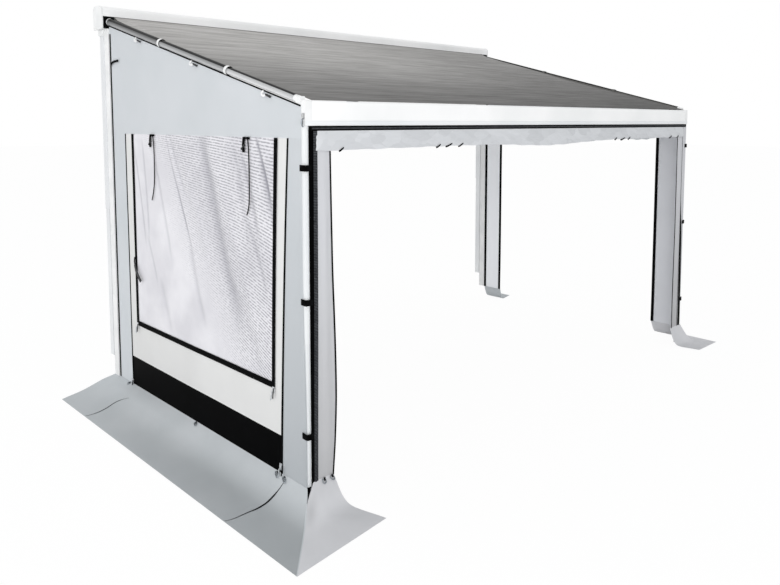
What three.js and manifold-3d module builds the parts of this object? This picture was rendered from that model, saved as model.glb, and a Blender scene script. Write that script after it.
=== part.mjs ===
import * as THREE from 'three';
import { mergeVertices } from 'three/addons/utils/BufferGeometryUtils.js';
import Module from 'manifold-3d';

// An awning tent: a cassette on the vehicle's wall, a canopy on two folding arms, a front rail
// on two legs, and side and front fabric zipped below it. Millimetres. X runs along the
// vehicle, Y towards it and Z up. Heights are counted from the ground and Y from the wall.
// At the end the group is lowered so that the origin is the face of the middle wall bracket.

const wasm = await Module();
wasm.setup();

// Driving sizes
const projection = 2500;
const tensionTravel = 150;
const railLength = 4300;
const railUnderside = 2012;
const cassetteUnderside = 2700;
const seatGap = 0.3;
const clothThickness = 2;
const overrun = 1;

const frontFace = -projection;
const railEnd = railLength / 2;
const sides = [['left', -1], ['right', 1]];

// How finely round things are drawn
const roundSides = 24;
const cornerSteps = 3;

const model = new THREE.Group();

function finish(color, roughness, metalness = 0) {
  return new THREE.MeshStandardMaterial({ color, roughness, metalness });
}

const whitePaint = finish('#f3f4f4', 0.35);
const whitePlastic = finish('#eeeeee', 0.45);
const rawAluminium = finish('#b9bcbf', 0.4, 1);
const zincSteel = finish('#8f9396', 0.4, 1);
const greyFabric = finish('#c9ccd0', 0.85);
const whiteFabric = finish('#e3e3e2', 0.8);
const blackFabric = finish('#141517', 0.8);
const canopyFabric = finish('#8b8886', 0.9);
const windowFilm = finish('#dcdde0', 0.3);
const skirtFabric = finish('#b4babd', 0.85);
const blackPlastic = finish('#1b1c1e', 0.5);

function add(name, geometry, material, parent = model) {
  const mesh = new THREE.Mesh(geometry, material);
  mesh.name = name;
  parent.add(mesh);
  return mesh;
}

// An outline from [a, b] points; a third number rounds that corner by so much
function outline(points) {
  const shape = new THREE.Shape();
  const corners = points.map(([a, b, radius = 0], index) => {
    const here = new THREE.Vector2(a, b);
    const before = new THREE.Vector2(...points.at(index - 1).slice(0, 2));
    const after = new THREE.Vector2(...points[(index + 1) % points.length].slice(0, 2));
    const start = here.clone().add(before.sub(here).setLength(radius));
    const end = here.clone().add(after.sub(here).setLength(radius));
    return { here, start, end, radius };
  });
  shape.moveTo(corners[0].end.x, corners[0].end.y);
  for (const corner of [...corners.slice(1), corners[0]]) {
    shape.lineTo(corner.start.x, corner.start.y);
    if (corner.radius > 0) {
      shape.quadraticCurveTo(corner.here.x, corner.here.y, corner.end.x, corner.end.y);
    }
  }
  return shape;
}

function box2(a0, a1, b0, b1, radius = 0) {
  return outline([[a0, b0, radius], [a1, b0, radius], [a1, b1, radius], [a0, b1, radius]]);
}

function withHoles(shape, ...holes) {
  shape.holes.push(...holes);
  return shape;
}

function circle2(a, b, radius) {
  return new THREE.Path().absarc(a, b, radius, 0, 2 * Math.PI);
}

// The same geometry with its shared corners joined
function weld(geometry) {
  const bare = new THREE.BufferGeometry().setAttribute('position', geometry.attributes.position);
  if (geometry.index) bare.setIndex(geometry.index);
  return mergeVertices(bare);
}

function extrude(shape, depth, steps = cornerSteps) {
  return weld(new THREE.ExtrudeGeometry(shape, { depth, bevelEnabled: false, curveSegments: steps }));
}

// A Y-Z outline drawn out along X, an X-Z outline along Y and an X-Y outline along Z
function alongX(shape, x0, x1, steps) {
  const turn = new THREE.Matrix4().set(0, 0, 1, Math.min(x0, x1), 1, 0, 0, 0, 0, 1, 0, 0, 0, 0, 0, 1);
  return extrude(shape, Math.abs(x1 - x0), steps).applyMatrix4(turn);
}

function alongY(shape, y0, y1, steps) {
  const turn = new THREE.Matrix4().set(1, 0, 0, 0, 0, 0, -1, Math.max(y0, y1), 0, 1, 0, 0, 0, 0, 0, 1);
  return extrude(shape, Math.abs(y1 - y0), steps).applyMatrix4(turn);
}

function alongZ(shape, z0, z1, steps) {
  return extrude(shape, Math.abs(z1 - z0), steps).translate(0, 0, Math.min(z0, z1));
}

// Solids for joining and cutting
function solid(geometry) {
  return new wasm.Manifold(new wasm.Mesh({
    numProp: 3,
    vertProperties: new Float32Array(geometry.attributes.position.array),
    triVerts: new Uint32Array(geometry.index.array),
  }));
}

function mesh3(body) {
  const { vertProperties, triVerts } = body.getMesh();
  const geometry = new THREE.BufferGeometry();
  geometry.setAttribute('position', new THREE.BufferAttribute(vertProperties, 3));
  geometry.setIndex(new THREE.BufferAttribute(triVerts, 1));
  return geometry;
}

function join(first, ...others) {
  return mesh3(others.reduce((whole, piece) => whole.add(solid(piece)), solid(first)));
}

function cut(first, ...others) {
  return mesh3(others.reduce((whole, piece) => whole.subtract(solid(piece)), solid(first)));
}

// A closed surface from points and faces, turned so that its faces point out
function closedSurface(points, faces) {
  let volume = 0;
  for (const [a, b, c] of faces) volume += points[a].dot(points[b].clone().cross(points[c]));
  const ordered = volume < 0 ? faces.map(([a, b, c]) => [a, c, b]) : faces;
  const geometry = new THREE.BufferGeometry().setFromPoints(points);
  geometry.setIndex(ordered.flat());
  return geometry;
}

function quad(faces, a, b, c, d) {
  faces.push([a, b, c], [a, c, d]);
}

// A sheet of cloth: rows of points on its outer face, and the step to its inner face
function cloth(rows, step) {
  const columns = rows[0].length;
  const outer = rows.flat();
  const points = [...outer, ...outer.map((point) => point.clone().add(step))];
  const inner = outer.length;
  const faces = [];
  const at = (row, column) => row * columns + column;
  for (let row = 0; row + 1 < rows.length; row += 1) {
    for (let column = 0; column + 1 < columns; column += 1) {
      const ring = [at(row, column), at(row, column + 1), at(row + 1, column + 1), at(row + 1, column)];
      quad(faces, ...ring);
      quad(faces, ...ring.map((index) => index + inner).reverse());
    }
  }
  const rim = [];
  for (let column = 0; column + 1 < columns; column += 1) rim.push(at(0, column));
  for (let row = 0; row + 1 < rows.length; row += 1) rim.push(at(row, columns - 1));
  for (let column = columns - 1; column > 0; column -= 1) rim.push(at(rows.length - 1, column));
  for (let row = rows.length - 1; row > 0; row -= 1) rim.push(at(row, 0));
  rim.forEach((here, index) => {
    const next = rim[(index + 1) % rim.length];
    quad(faces, next, here, here + inner, next + inner);
  });
  return closedSurface(points, faces);
}

// A closed form through rings of points, with a flat end on the first and the last ring
function loft(rings) {
  const count = rings[0].length;
  const faces = [];
  for (let ring = 0; ring + 1 < rings.length; ring += 1) {
    for (let step = 0; step < count; step += 1) {
      const next = (step + 1) % count;
      const here = ring * count;
      quad(faces, here + step, here + next, here + count + next, here + count + step);
    }
  }
  const last = (rings.length - 1) * count;
  for (let step = 1; step + 1 < count; step += 1) {
    faces.push([0, step + 1, step], [last, last + step, last + step + 1]);
  }
  return closedSurface(rings.flat(), faces);
}

// Cassette: a C-shaped housing, open to the front, with a plate on each end
const cassette = {
  height: 164, depth: 148, wall: 3, lipDrop: 74, floorDepth: 138, corner: 16, capThickness: 10,
  capProud: 2, bracketThickness: 11.7, overhang: 45, faceUp: 80,
};
const cassetteEnd = railEnd + cassette.overhang;
const mountHeight = cassetteUnderside + cassette.faceUp;
const cassetteBack = -cassette.bracketThickness - seatGap;
const cassetteFront = cassetteBack - cassette.depth;
const cassetteTop = cassetteUnderside + cassette.height;
const floorFront = cassetteBack - cassette.floorDepth;
const floorTop = cassetteUnderside + cassette.wall;
const mouthTop = cassetteTop - cassette.lipDrop;

// Front rail: a tall front chamber, a lower shelf behind it and a channel that the legs fold into
const rail = {
  height: 125, wall: 3, topLength: 38, topDrop: 14, shelfDrop: 47, depth: 85, channelDepth: 63,
  channelWidth: 30.3, corner: 9, capLength: 44.7, capProud: 1.5, partition: 3,
};
const railTop = railUnderside + rail.height;
const railRear = frontFace + rail.depth;
const shelfTop = railTop - rail.shelfDrop;
const channelTop = railUnderside + rail.channelDepth;
const channelFront = frontFace + rail.wall;
const channelRear = channelFront + rail.channelWidth;
const railBodyEnd = railEnd - rail.capLength - seatGap;

// Rafters: three tubes, each sliding into the one behind it, with a collar on each front end
const rafter = {
  inset: 10, rearAhead: -12, rearUp: 54, frontUp: 13.79, tube: 24.5, wall: 1.5, stepDown: 1.8,
  collarProud: 2.5, collarLength: 22, rearJointShare: 0.361, frontJointShare: 0.718, overlap: 150,
  spigotLength: 45,
};
const rafterX = railEnd - rafter.inset;
const rafterRadii = [0, 1, 2].map((step) => rafter.tube - step * rafter.stepDown);
const collarRadius = rafter.tube + rafter.collarProud;
const rafterRearY = cassetteFront - rafter.rearAhead;
const rafterRearZ = cassetteUnderside + rafter.rearUp;
const rafterFall = rafterRearZ - railTop - rafter.frontUp;

// The line that the rafters, the arms and the front rail all move along
const pitch = Math.atan(rafterFall / (rafterRearY - railRear));
const slideUp = Math.tan(pitch);
const alongSlope = new THREE.Vector3(0, Math.cos(pitch), Math.sin(pitch));

function rafterHeight(y) {
  return rafterRearZ + (y - rafterRearY) * slideUp;
}

function rafterPoint(y) {
  return new THREE.Vector3(0, y, rafterHeight(y));
}

// Canopy between the rafters, and the roller that the rest of it is wound on
const canopy = { sideGap: 13, sag: 20, stations: 12, frontInset: 10, frontUp: 0.95, rearAhead: 9 };
const canopyHalf = rafterX - collarRadius - canopy.sideGap;
const roller = { tube: 22, wound: 33, back: 73, up: 70, wheelWidth: 14.4, stubLength: 35 };
const rollerY = cassetteBack - roller.back;
const rollerZ = cassetteUnderside + roller.up;
const rollerEnd = canopyHalf;

// Worm and eye that the crank turns
const worm = {
  radius: 8, clearance: 0.5, above: 16, below: 42, eyeRadius: 18, eyeBar: 5, holePlay: 0.6,
  teeth: 21, toothDepth: 3,
};
const wormX = rollerEnd + seatGap + roller.wheelWidth / 2;
const wormY = rollerY - roller.wound - worm.clearance - worm.radius;

function cassetteOutline(proud) {
  const r = cassette.corner;
  return [
    [cassetteBack, cassetteUnderside - proud, r / 4],
    [cassetteBack, cassetteTop - r + proud, r / 2],
    [cassetteBack - r, cassetteTop + proud, r / 2],
    [cassetteFront + 2 * r, cassetteTop + proud, r],
    [cassetteFront - proud, cassetteTop - r, r],
  ];
}

function addCassette() {
  const wall = cassette.wall;
  const r = cassette.corner;
  const housing = alongX(outline([
    ...cassetteOutline(0),
    [cassetteFront, mouthTop],
    [cassetteFront + wall, mouthTop],
    [cassetteFront + wall, cassetteTop - r, r - wall],
    [cassetteFront + 2 * r, cassetteTop - wall, r / 2],
    [cassetteBack - r, cassetteTop - wall, r / 2],
    [cassetteBack - wall, cassetteTop - r],
    [cassetteBack - wall, floorTop],
    [floorFront, floorTop],
    [floorFront, cassetteUnderside],
  ]), cassette.capThickness + seatGap - cassetteEnd, cassetteEnd - cassette.capThickness - seatGap);
  const wormHole = new THREE.Shape().absarc(wormX, wormY, worm.radius + worm.holePlay, 0, 2 * Math.PI);
  const drill = alongZ(wormHole, cassetteUnderside - overrun, floorTop + overrun, roundSides / 2);
  add('cassette_housing', cut(housing, drill), whitePaint);
}

function railOutline(proud) {
  const step = frontFace + rail.topLength;
  return [
    [frontFace - proud, railUnderside, rail.corner / 3],
    [frontFace - proud, railTop + proud, rail.corner],
    [frontFace + 2 * rail.corner, railTop + proud, rail.corner / 3],
    [step, railTop - rail.topDrop + proud, rail.corner / 3],
    [step, shelfTop],
    [railRear, shelfTop, rail.corner / 3],
    [railRear, railUnderside, rail.corner / 3],
    [channelRear, railUnderside],
    [channelRear, channelTop],
    [channelFront, channelTop],
    [channelFront, railUnderside],
  ];
}

function addCassetteCaps() {
  const inner = cassetteEnd - cassette.capThickness;
  for (const [side, sign] of sides) {
    const plate = alongX(outline([
      ...cassetteOutline(cassette.capProud),
      [cassetteFront - cassette.capProud, cassetteUnderside - cassette.capProud, cassette.corner],
    ]), sign * inner, sign * cassetteEnd);
    const stub = new THREE.Shape().absarc(rollerY, rollerZ, roller.tube - seatGap, 0, 2 * Math.PI);
    const stubStart = sign * (rollerEnd - roller.stubLength);
    const axle = alongX(stub, stubStart, sign * (inner + overrun), roundSides / 2);
    const socketFront = rafterRearY + rafter.tube * Math.sin(pitch) + seatGap;
    const socket = alongX(
      box2(socketFront, rollerY, rafterRearZ - collarRadius, rafterRearZ + rafter.tube),
      sign * (rafterX - rafter.tube / 2), sign * (inner + overrun),
    );
    add(`cassette_cap_${side}`, join(plate, axle, socket), whitePlastic);
  }
}

function addWallBrackets() {
  const bracket = { width: 120, top: 60, foot: 10, footDepth: 40, inset: 695 };
  const rise = mountHeight + bracket.top;
  const under = cassetteUnderside - seatGap;
  const section = outline([
    [0, under - bracket.foot], [0, rise], [-cassette.bracketThickness, rise],
    [-cassette.bracketThickness, under], [-bracket.footDepth, under],
    [-bracket.footDepth, under - bracket.foot],
  ]);
  const half = bracket.width / 2;
  const spacing = cassetteEnd - bracket.inset;
  for (const [place, x] of Object.entries({ left: -spacing, middle: 0, right: spacing })) {
    add(`wall_bracket_${place}`, alongX(section, x - half, x + half), zincSteel);
  }
}

function addRoller() {
  const ring = withHoles(
    new THREE.Shape().absarc(rollerY, rollerZ, roller.wound, 0, 2 * Math.PI),
    circle2(rollerY, rollerZ, roller.tube),
  );
  add('fabric_roller', alongX(ring, -rollerEnd, rollerEnd, roundSides / 2), canopyFabric);
  const wheel = [];
  for (let tooth = 0; tooth < worm.teeth; tooth += 1) {
    for (const [turnShare, radius] of [
      [0, roller.wound - worm.toothDepth], [0.25, roller.wound],
      [0.5, roller.wound], [0.75, roller.wound - worm.toothDepth],
    ]) {
      const angle = ((tooth + turnShare) / worm.teeth) * 2 * Math.PI;
      wheel.push([rollerY + radius * Math.cos(angle), rollerZ + radius * Math.sin(angle)]);
    }
  }
  const gear = withHoles(outline(wheel), circle2(rollerY, rollerZ, roller.tube));
  const gearStart = rollerEnd + seatGap;
  add('worm_wheel', alongX(gear, gearStart, gearStart + roller.wheelWidth, roundSides / 2), zincSteel);
}

function addWorm() {
  const shaftTop = rollerZ + worm.above;
  const shaftFoot = cassetteUnderside - worm.below;
  const shaft = alongZ(
    new THREE.Shape().absarc(wormX, wormY, worm.radius, 0, 2 * Math.PI),
    shaftFoot, shaftTop, roundSides / 2,
  );
  const bar = weld(new THREE.TorusGeometry(worm.eyeRadius, worm.eyeBar, roundSides / 3, roundSides));
  const eye = bar.rotateX(Math.PI / 2).translate(wormX, wormY, shaftFoot - worm.eyeRadius);
  add('winch_worm', join(shaft, eye), zincSteel);
}

// Folding arms: two equal links on each side, in a plane that follows the slope
const arm = {
  inset: 350, shoulderBack: 10, wristAhead: 20, foldDeg: 24.574, width: 44, thick: 24,
  endWidth: 36, pin: 6, shoulderPin: 8, play: 0.3, slot: 7, tongue: 8, earRoom: 7,
};
const seat = {
  half: 30, back: 38, front: 35, rise: 1.66, wristHalf: 22, wristBack: 16, wristFront: 20,
};
const shoulderX = rollerEnd - arm.inset;
const shoulderY = cassetteFront + arm.shoulderBack;
const seatDrop = (arm.thick / 2 + seatGap) / Math.cos(pitch);
const shoulderZ = floorTop + seatGap + seat.rise + seatDrop + seat.front * slideUp;
const wristY = railRear - arm.wristAhead;
const armReach = (shoulderY - wristY) / Math.cos(pitch);
const armAngle = THREE.MathUtils.degToRad(arm.foldDeg);
const armLength = armReach / (2 * Math.cos(armAngle));
const armAngleTaut = Math.acos((armReach - tensionTravel) / (2 * armLength));
const armSlope = new THREE.Group();
armSlope.position.set(0, shoulderY, shoulderZ);
armSlope.rotation.x = pitch;
model.add(armSlope);

// A flat link from the origin along -Y, with a round end on each pivot
function link(length, startWidth, endWidth) {
  const shape = new THREE.Shape();
  shape.absarc(0, 0, startWidth / 2, 0, Math.PI);
  shape.absarc(0, -length, endWidth / 2, Math.PI, 2 * Math.PI);
  return shape;
}

// A slot centred on [0, y] that points the way of an angle counted from +X
function slotHole(y, radius, reach, angle) {
  const hole = new THREE.Path();
  for (const [way, turn] of [[1, angle], [-1, angle + Math.PI]]) {
    const a = way * reach * Math.cos(angle);
    const b = y + way * reach * Math.sin(angle);
    hole.absarc(a, b, radius, turn - Math.PI / 2, turn + Math.PI / 2);
  }
  return hole;
}

function disc(y, radius, z0, z1) {
  return alongZ(new THREE.Shape().absarc(0, y, radius, 0, 2 * Math.PI), z0, z1, roundSides / 2);
}

function addArms() {
  const half = arm.thick / 2;
  const tongue = arm.tongue / 2;
  const elbowEar = arm.width / 2;
  for (const [side, sign] of sides) {
    const shoulder = new THREE.Group();
    shoulder.position.set(sign * shoulderX, 0, 0);
    shoulder.rotation.z = -sign * armAngle;
    armSlope.add(shoulder);
    const upperShape = withHoles(
      link(armLength, arm.width, arm.width), circle2(0, 0, arm.shoulderPin + arm.play),
    );
    const slotWidth = tongue + arm.play;
    const forkSlot = alongZ(
      box2(-arm.width, arm.width, -armLength - arm.width, -armLength + elbowEar + arm.earRoom),
      -slotWidth, slotWidth,
    );
    const elbowPin = disc(-armLength, arm.pin, -half + overrun, half - overrun);
    const upperBody = cut(alongZ(upperShape, -half, half, roundSides / 4), forkSlot);
    add(`upper_arm_${side}`, join(upperBody, elbowPin), rawAluminium, shoulder);

    const elbow = new THREE.Group();
    elbow.position.set(0, -armLength, 0);
    elbow.rotation.z = 2 * sign * armAngle;
    shoulder.add(elbow);
    // The slot follows the slope halfway through the travel, so the wrist pin keeps clear of it
    const slotAngle = Math.PI / 2 - sign * (armAngle + armAngleTaut) / 2;
    const foreShape = withHoles(
      link(armLength, arm.width, arm.endWidth),
      circle2(0, 0, arm.pin + arm.play),
      slotHole(-armLength, arm.pin + arm.play, arm.slot, slotAngle),
    );
    const earRoom = elbowEar + arm.earRoom;
    add(`forearm_${side}`, cut(
      alongZ(foreShape, -half, half, roundSides / 4),
      disc(0, earRoom, tongue, half + overrun),
      disc(0, earRoom, -half - overrun, -tongue),
    ), rawAluminium, elbow);
  }
}

function slopePin(x, y, z, radius, low, high) {
  const pin = alongZ(new THREE.Shape().absarc(0, 0, radius, 0, 2 * Math.PI), low, high, roundSides / 2);
  return pin.rotateX(pitch).translate(x, y, z);
}

function addArmBrackets() {
  const topAt = (y, z0, y0) => z0 - seatDrop + (y - y0) * slideUp;
  for (const [side, sign] of sides) {
    const x = sign * shoulderX;
    const rear = shoulderY + seat.back;
    const front = shoulderY - seat.front;
    const wedge = alongX(outline([
      [front, floorTop + seatGap], [rear, floorTop + seatGap],
      [rear, topAt(rear, shoulderZ, shoulderY)], [front, topAt(front, shoulderZ, shoulderY)],
    ]), x - seat.half, x + seat.half);
    const shoulderPin = slopePin(
      x, shoulderY, shoulderZ, arm.shoulderPin, -arm.thick / 2 - overrun, arm.thick / 2,
    );
    add(`arm_bracket_${side}`, join(wedge, shoulderPin), rawAluminium);

    const wristZ = shoulderZ + (wristY - shoulderY) * slideUp;
    const wristFront = wristY - seat.wristFront;
    const wristBack = wristY + seat.wristBack;
    const block = alongX(outline([
      [wristFront, shelfTop + seatGap], [wristBack, shelfTop + seatGap],
      [wristBack, topAt(wristBack, wristZ, wristY)], [wristFront, topAt(wristFront, wristZ, wristY)],
    ]), x - seat.wristHalf, x + seat.wristHalf);
    const wristPin = slopePin(
      x, wristY, wristZ, arm.pin, -arm.thick / 2 - overrun, arm.thick / 2,
    );
    add(`wrist_bracket_${side}`, join(block, wristPin), rawAluminium);
  }
}

// A tube along the slope with a collar on its front end, placed between two places in Y
function rafterTube(rearY, frontY, radius, withCollar) {
  const length = (rearY - frontY) / Math.cos(pitch);
  const inner = radius - rafter.wall;
  const proud = radius + rafter.collarProud;
  const collarStart = length - rafter.collarLength;
  const profile = withCollar
    ? [[inner, 0], [radius, 0], [radius, collarStart], [proud, collarStart], [proud, length], [inner, length]]
    : [[inner, 0], [radius, 0], [radius, length], [inner, length]];
  const points = [...profile, profile[0]].map(([r, z]) => new THREE.Vector2(r, z));
  const tube = weld(new THREE.LatheGeometry(points, roundSides));
  const turned = tube.applyQuaternion(new THREE.Quaternion().setFromUnitVectors(
    new THREE.Vector3(0, 1, 0), alongSlope.clone().negate(),
  ));
  const start = rafterPoint(rearY);
  return turned.translate(0, start.y, start.z);
}

function addRafters() {
  const frontEnd = railRear + rafter.collarProud;
  const rearJoint = rafterRearY + rafter.rearJointShare * (frontEnd - rafterRearY);
  const frontJoint = rafterRearY + rafter.frontJointShare * (frontEnd - rafterRearY);
  const stretches = [
    ['rear', rafterRearY, rearJoint],
    ['middle', rearJoint + rafter.overlap, frontJoint],
    ['front', frontJoint + rafter.overlap, frontEnd],
  ];
  for (const [side, sign] of sides) {
    stretches.forEach(([place, rearY, frontY], index) => {
      const tube = rafterTube(rearY, frontY, rafterRadii[index], index < 2);
      add(`rafter_${place}_${side}`, tube.translate(sign * rafterX, 0, 0), whitePaint);
    });
  }
}

// Legs: an outer tube hung in the rail's end, an inner tube, a foot and a locking knob
const leg = {
  width: 25, depth: 26, wall: 2, innerWall: 1.8, inset: 14.5, pivotUp: 20, pin: 4, pinPlay: 0.3,
  outerFoot: 900, innerTop: 1100, headDrop: 22, soleHeight: 14, soleReach: 40, plugHeight: 36,
  knobUp: 60, knobRadius: 11, knobWidth: 12, knobGrip: 2, soleCorner: 2,
};
const legX = railEnd - leg.inset;
const legY = (channelFront + channelRear) / 2;
const legPivotZ = railUnderside + leg.pivotUp;
const knobHeight = leg.outerFoot + leg.knobUp;

function centred(x, width, y, depth) {
  return box2(x - width / 2, x + width / 2, y - depth / 2, y + depth / 2);
}

function addRail() {
  const step = frontFace + rail.topLength;
  const frontChamber = outline([
    [channelFront, channelTop + rail.wall], [step - rail.wall, channelTop + rail.wall],
    [step - rail.wall, railTop - rail.topDrop - rail.wall],
    [channelFront + rail.corner, railTop - 2 * rail.wall],
    [channelFront, railTop - rail.corner],
  ]);
  const rearChamber = box2(
    step + rail.partition, railRear - rail.wall, railUnderside + rail.wall, shelfTop - rail.wall,
  );
  const profile = withHoles(outline(railOutline(0)), frontChamber, rearChamber);
  add('lead_rail', alongX(profile, -railBodyEnd, railBodyEnd), whitePaint);

  for (const [side, sign] of sides) {
    const capStart = sign * (railEnd - rail.capLength);
    const cap = alongX(outline(railOutline(rail.capProud)), capStart, sign * railEnd);
    const pin = new THREE.Shape().absarc(sign * legX, legPivotZ, leg.pin, 0, 2 * Math.PI);
    const pinSolid = alongY(pin, channelFront - overrun, channelRear + overrun, roundSides / 2);
    const tubeEnd = railRear + rafter.collarProud;
    const spigotRadius = rafterRadii[2] - rafter.wall - seatGap;
    const postRear = tubeEnd - rafterRadii[2] * Math.sin(pitch) - seatGap;
    const post = alongX(
      box2(step, postRear, shelfTop - overrun, rafterHeight(postRear) + spigotRadius / 2),
      sign * (rafterX - spigotRadius), sign * railEnd,
    );
    const spigotStart = rafterPoint(postRear - spigotRadius / 2);
    const spigot = weld(
      new THREE.CylinderGeometry(spigotRadius, spigotRadius, rafter.spigotLength, roundSides),
    );
    spigot.translate(0, rafter.spigotLength / 2, 0).rotateX(pitch);
    spigot.translate(sign * rafterX, spigotStart.y, spigotStart.z);
    add(`rail_cap_${side}`, join(cap, pinSolid, post, spigot), whitePlastic);
  }
}

function addLegs() {
  for (const [side, sign] of sides) {
    const x = sign * legX;
    const tubeTop = legPivotZ - leg.headDrop;
    const outerShape = withHoles(
      centred(x, leg.width, legY, leg.depth),
      centred(x, leg.width - 2 * leg.wall, legY, leg.depth - 2 * leg.wall),
    );
    const head = new THREE.Shape();
    head.moveTo(x - leg.width / 2, tubeTop - overrun);
    head.lineTo(x + leg.width / 2, tubeTop - overrun);
    head.absarc(x, legPivotZ, leg.width / 2, 0, Math.PI);
    head.holes.push(circle2(x, legPivotZ, leg.pin + leg.pinPlay));
    add(`leg_outer_${side}`, join(
      alongZ(outerShape, leg.outerFoot, tubeTop),
      alongY(head, legY - leg.depth / 2, legY + leg.depth / 2, roundSides / 2),
    ), whitePaint);

    const innerWidth = leg.width - 2 * leg.wall - 2 * seatGap;
    const innerDepth = leg.depth - 2 * leg.wall - 2 * seatGap;
    const innerShape = withHoles(
      centred(x, innerWidth, legY, innerDepth),
      centred(x, innerWidth - 2 * leg.innerWall, legY, innerDepth - 2 * leg.innerWall),
    );
    add(`leg_inner_${side}`, alongZ(innerShape, leg.soleHeight + seatGap, leg.innerTop), rawAluminium);

    const plugWidth = innerWidth - 2 * leg.innerWall - 2 * seatGap;
    const plugDepth = innerDepth - 2 * leg.innerWall - 2 * seatGap;
    const sole = box2(
      Math.min(x + sign * leg.width / 2, x - sign * leg.soleReach),
      Math.max(x + sign * leg.width / 2, x - sign * leg.soleReach),
      legY - leg.depth / 2, legY + leg.depth / 2, leg.soleCorner,
    );
    add(`foot_${side}`, join(
      alongZ(sole, 0, leg.soleHeight),
      alongZ(centred(x, plugWidth, legY, plugDepth), leg.soleHeight - overrun, leg.plugHeight),
    ), blackPlastic);

    const knobStart = legX - leg.width / 2 - seatGap;
    const knob = new THREE.Shape();
    const flats = roundSides / 2;
    for (let point = 0; point < flats; point += 1) {
      const radius = leg.knobRadius - (point % 2) * leg.knobGrip;
      const angle = (point / flats) * 2 * Math.PI;
      const move = point === 0 ? 'moveTo' : 'lineTo';
      knob[move](legY + radius * Math.cos(angle), knobHeight + radius * Math.sin(angle));
    }
    const knobEnd = knobStart - leg.knobWidth;
    add(`leg_knob_${side}`, alongX(knob, sign * knobStart, sign * knobEnd), blackPlastic);
  }
}

// Side walls: flat panels edge to edge, in a plane just outside the rail's ends
const wallSize = {
  outset: 0.5, hem: 137, topDrop: 63, windowFoot: 600, kickTop: 350, frontGap: 30, frontStrip: 114,
  border: 120, rearBorder: 98, rearStrip: 230, rearGap: 184,
};
const wall = {
  hem: wallSize.hem,
  kickTop: wallSize.kickTop,
  windowFoot: wallSize.windowFoot,
  windowTop: railUnderside - wallSize.topDrop,
  frontEdge: frontFace + wallSize.frontGap,
  frontZip: frontFace + wallSize.frontGap + wallSize.frontStrip,
  rearEdge: -wallSize.rearGap,
  rearZip: -wallSize.rearGap - wallSize.rearStrip,
};
wall.windowFront = wall.frontZip + wallSize.border;
wall.windowRear = wall.rearZip - wallSize.rearBorder;
const wallInner = railEnd + wallSize.outset;
const wallOuter = wallInner + clothThickness;
const topClear = Math.sqrt(collarRadius ** 2 - (rafter.inset + wallSize.outset) ** 2) + seatGap;

function wallTop(y) {
  return rafterHeight(y) - topClear / Math.cos(pitch);
}

function panel(name, sign, points, material) {
  add(name, alongX(outline(points), sign * wallInner, sign * wallOuter), material);
}

function addSideWalls() {
  const lowest = wall.hem + seatGap;
  const gableFoot = wall.windowTop + seatGap;
  for (const [side, sign] of sides) {
    panel(`gable_${side}`, sign, [
      [wall.frontEdge, gableFoot], [wall.rearEdge, gableFoot],
      [wall.rearEdge, wallTop(wall.rearEdge)], [wall.frontEdge, wallTop(wall.frontEdge)],
    ], greyFabric);
    panel(`rear_strip_${side}`, sign, [
      [wall.rearZip + seatGap, lowest], [wall.rearEdge, lowest],
      [wall.rearEdge, wall.windowTop], [wall.rearZip + seatGap, wall.windowTop],
    ], greyFabric);
    panel(`side_front_strip_${side}`, sign, [
      [wall.frontEdge, lowest], [wall.frontZip - seatGap, lowest],
      [wall.frontZip - seatGap, wall.windowTop], [wall.frontEdge, wall.windowTop],
    ], greyFabric);
  }
  panel('window_surround', -1, [
    [wall.frontZip, wall.kickTop + seatGap], [wall.rearZip, wall.kickTop + seatGap],
    [wall.rearZip, wall.windowTop], [wall.windowRear, wall.windowTop],
    [wall.windowRear, wall.windowFoot], [wall.windowFront, wall.windowFoot],
    [wall.windowFront, wall.windowTop], [wall.frontZip, wall.windowTop],
  ], whiteFabric);
  panel('window_film', -1, [
    [wall.windowFront + seatGap, wall.windowFoot + seatGap],
    [wall.windowRear - seatGap, wall.windowFoot + seatGap],
    [wall.windowRear - seatGap, wall.windowTop], [wall.windowFront + seatGap, wall.windowTop],
  ], windowFilm);
  panel('kick_panel', -1, [
    [wall.frontZip, lowest], [wall.rearZip, lowest], [wall.rearZip, wall.kickTop],
    [wall.frontZip, wall.kickTop],
  ], blackFabric);
}

// Rear poles: two telescoping tubes below the cassette's ends, and a pad between pole and wall
const pole = {
  width: 30, rear: -50, front: -113, wall: 2.5, innerWall: 2, joint: 1386, foot: 281, overlap: 250,
  headHeight: 45, headWidth: 44, headProud: 8, padWidth: 20, inset: 1.5,
};

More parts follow.
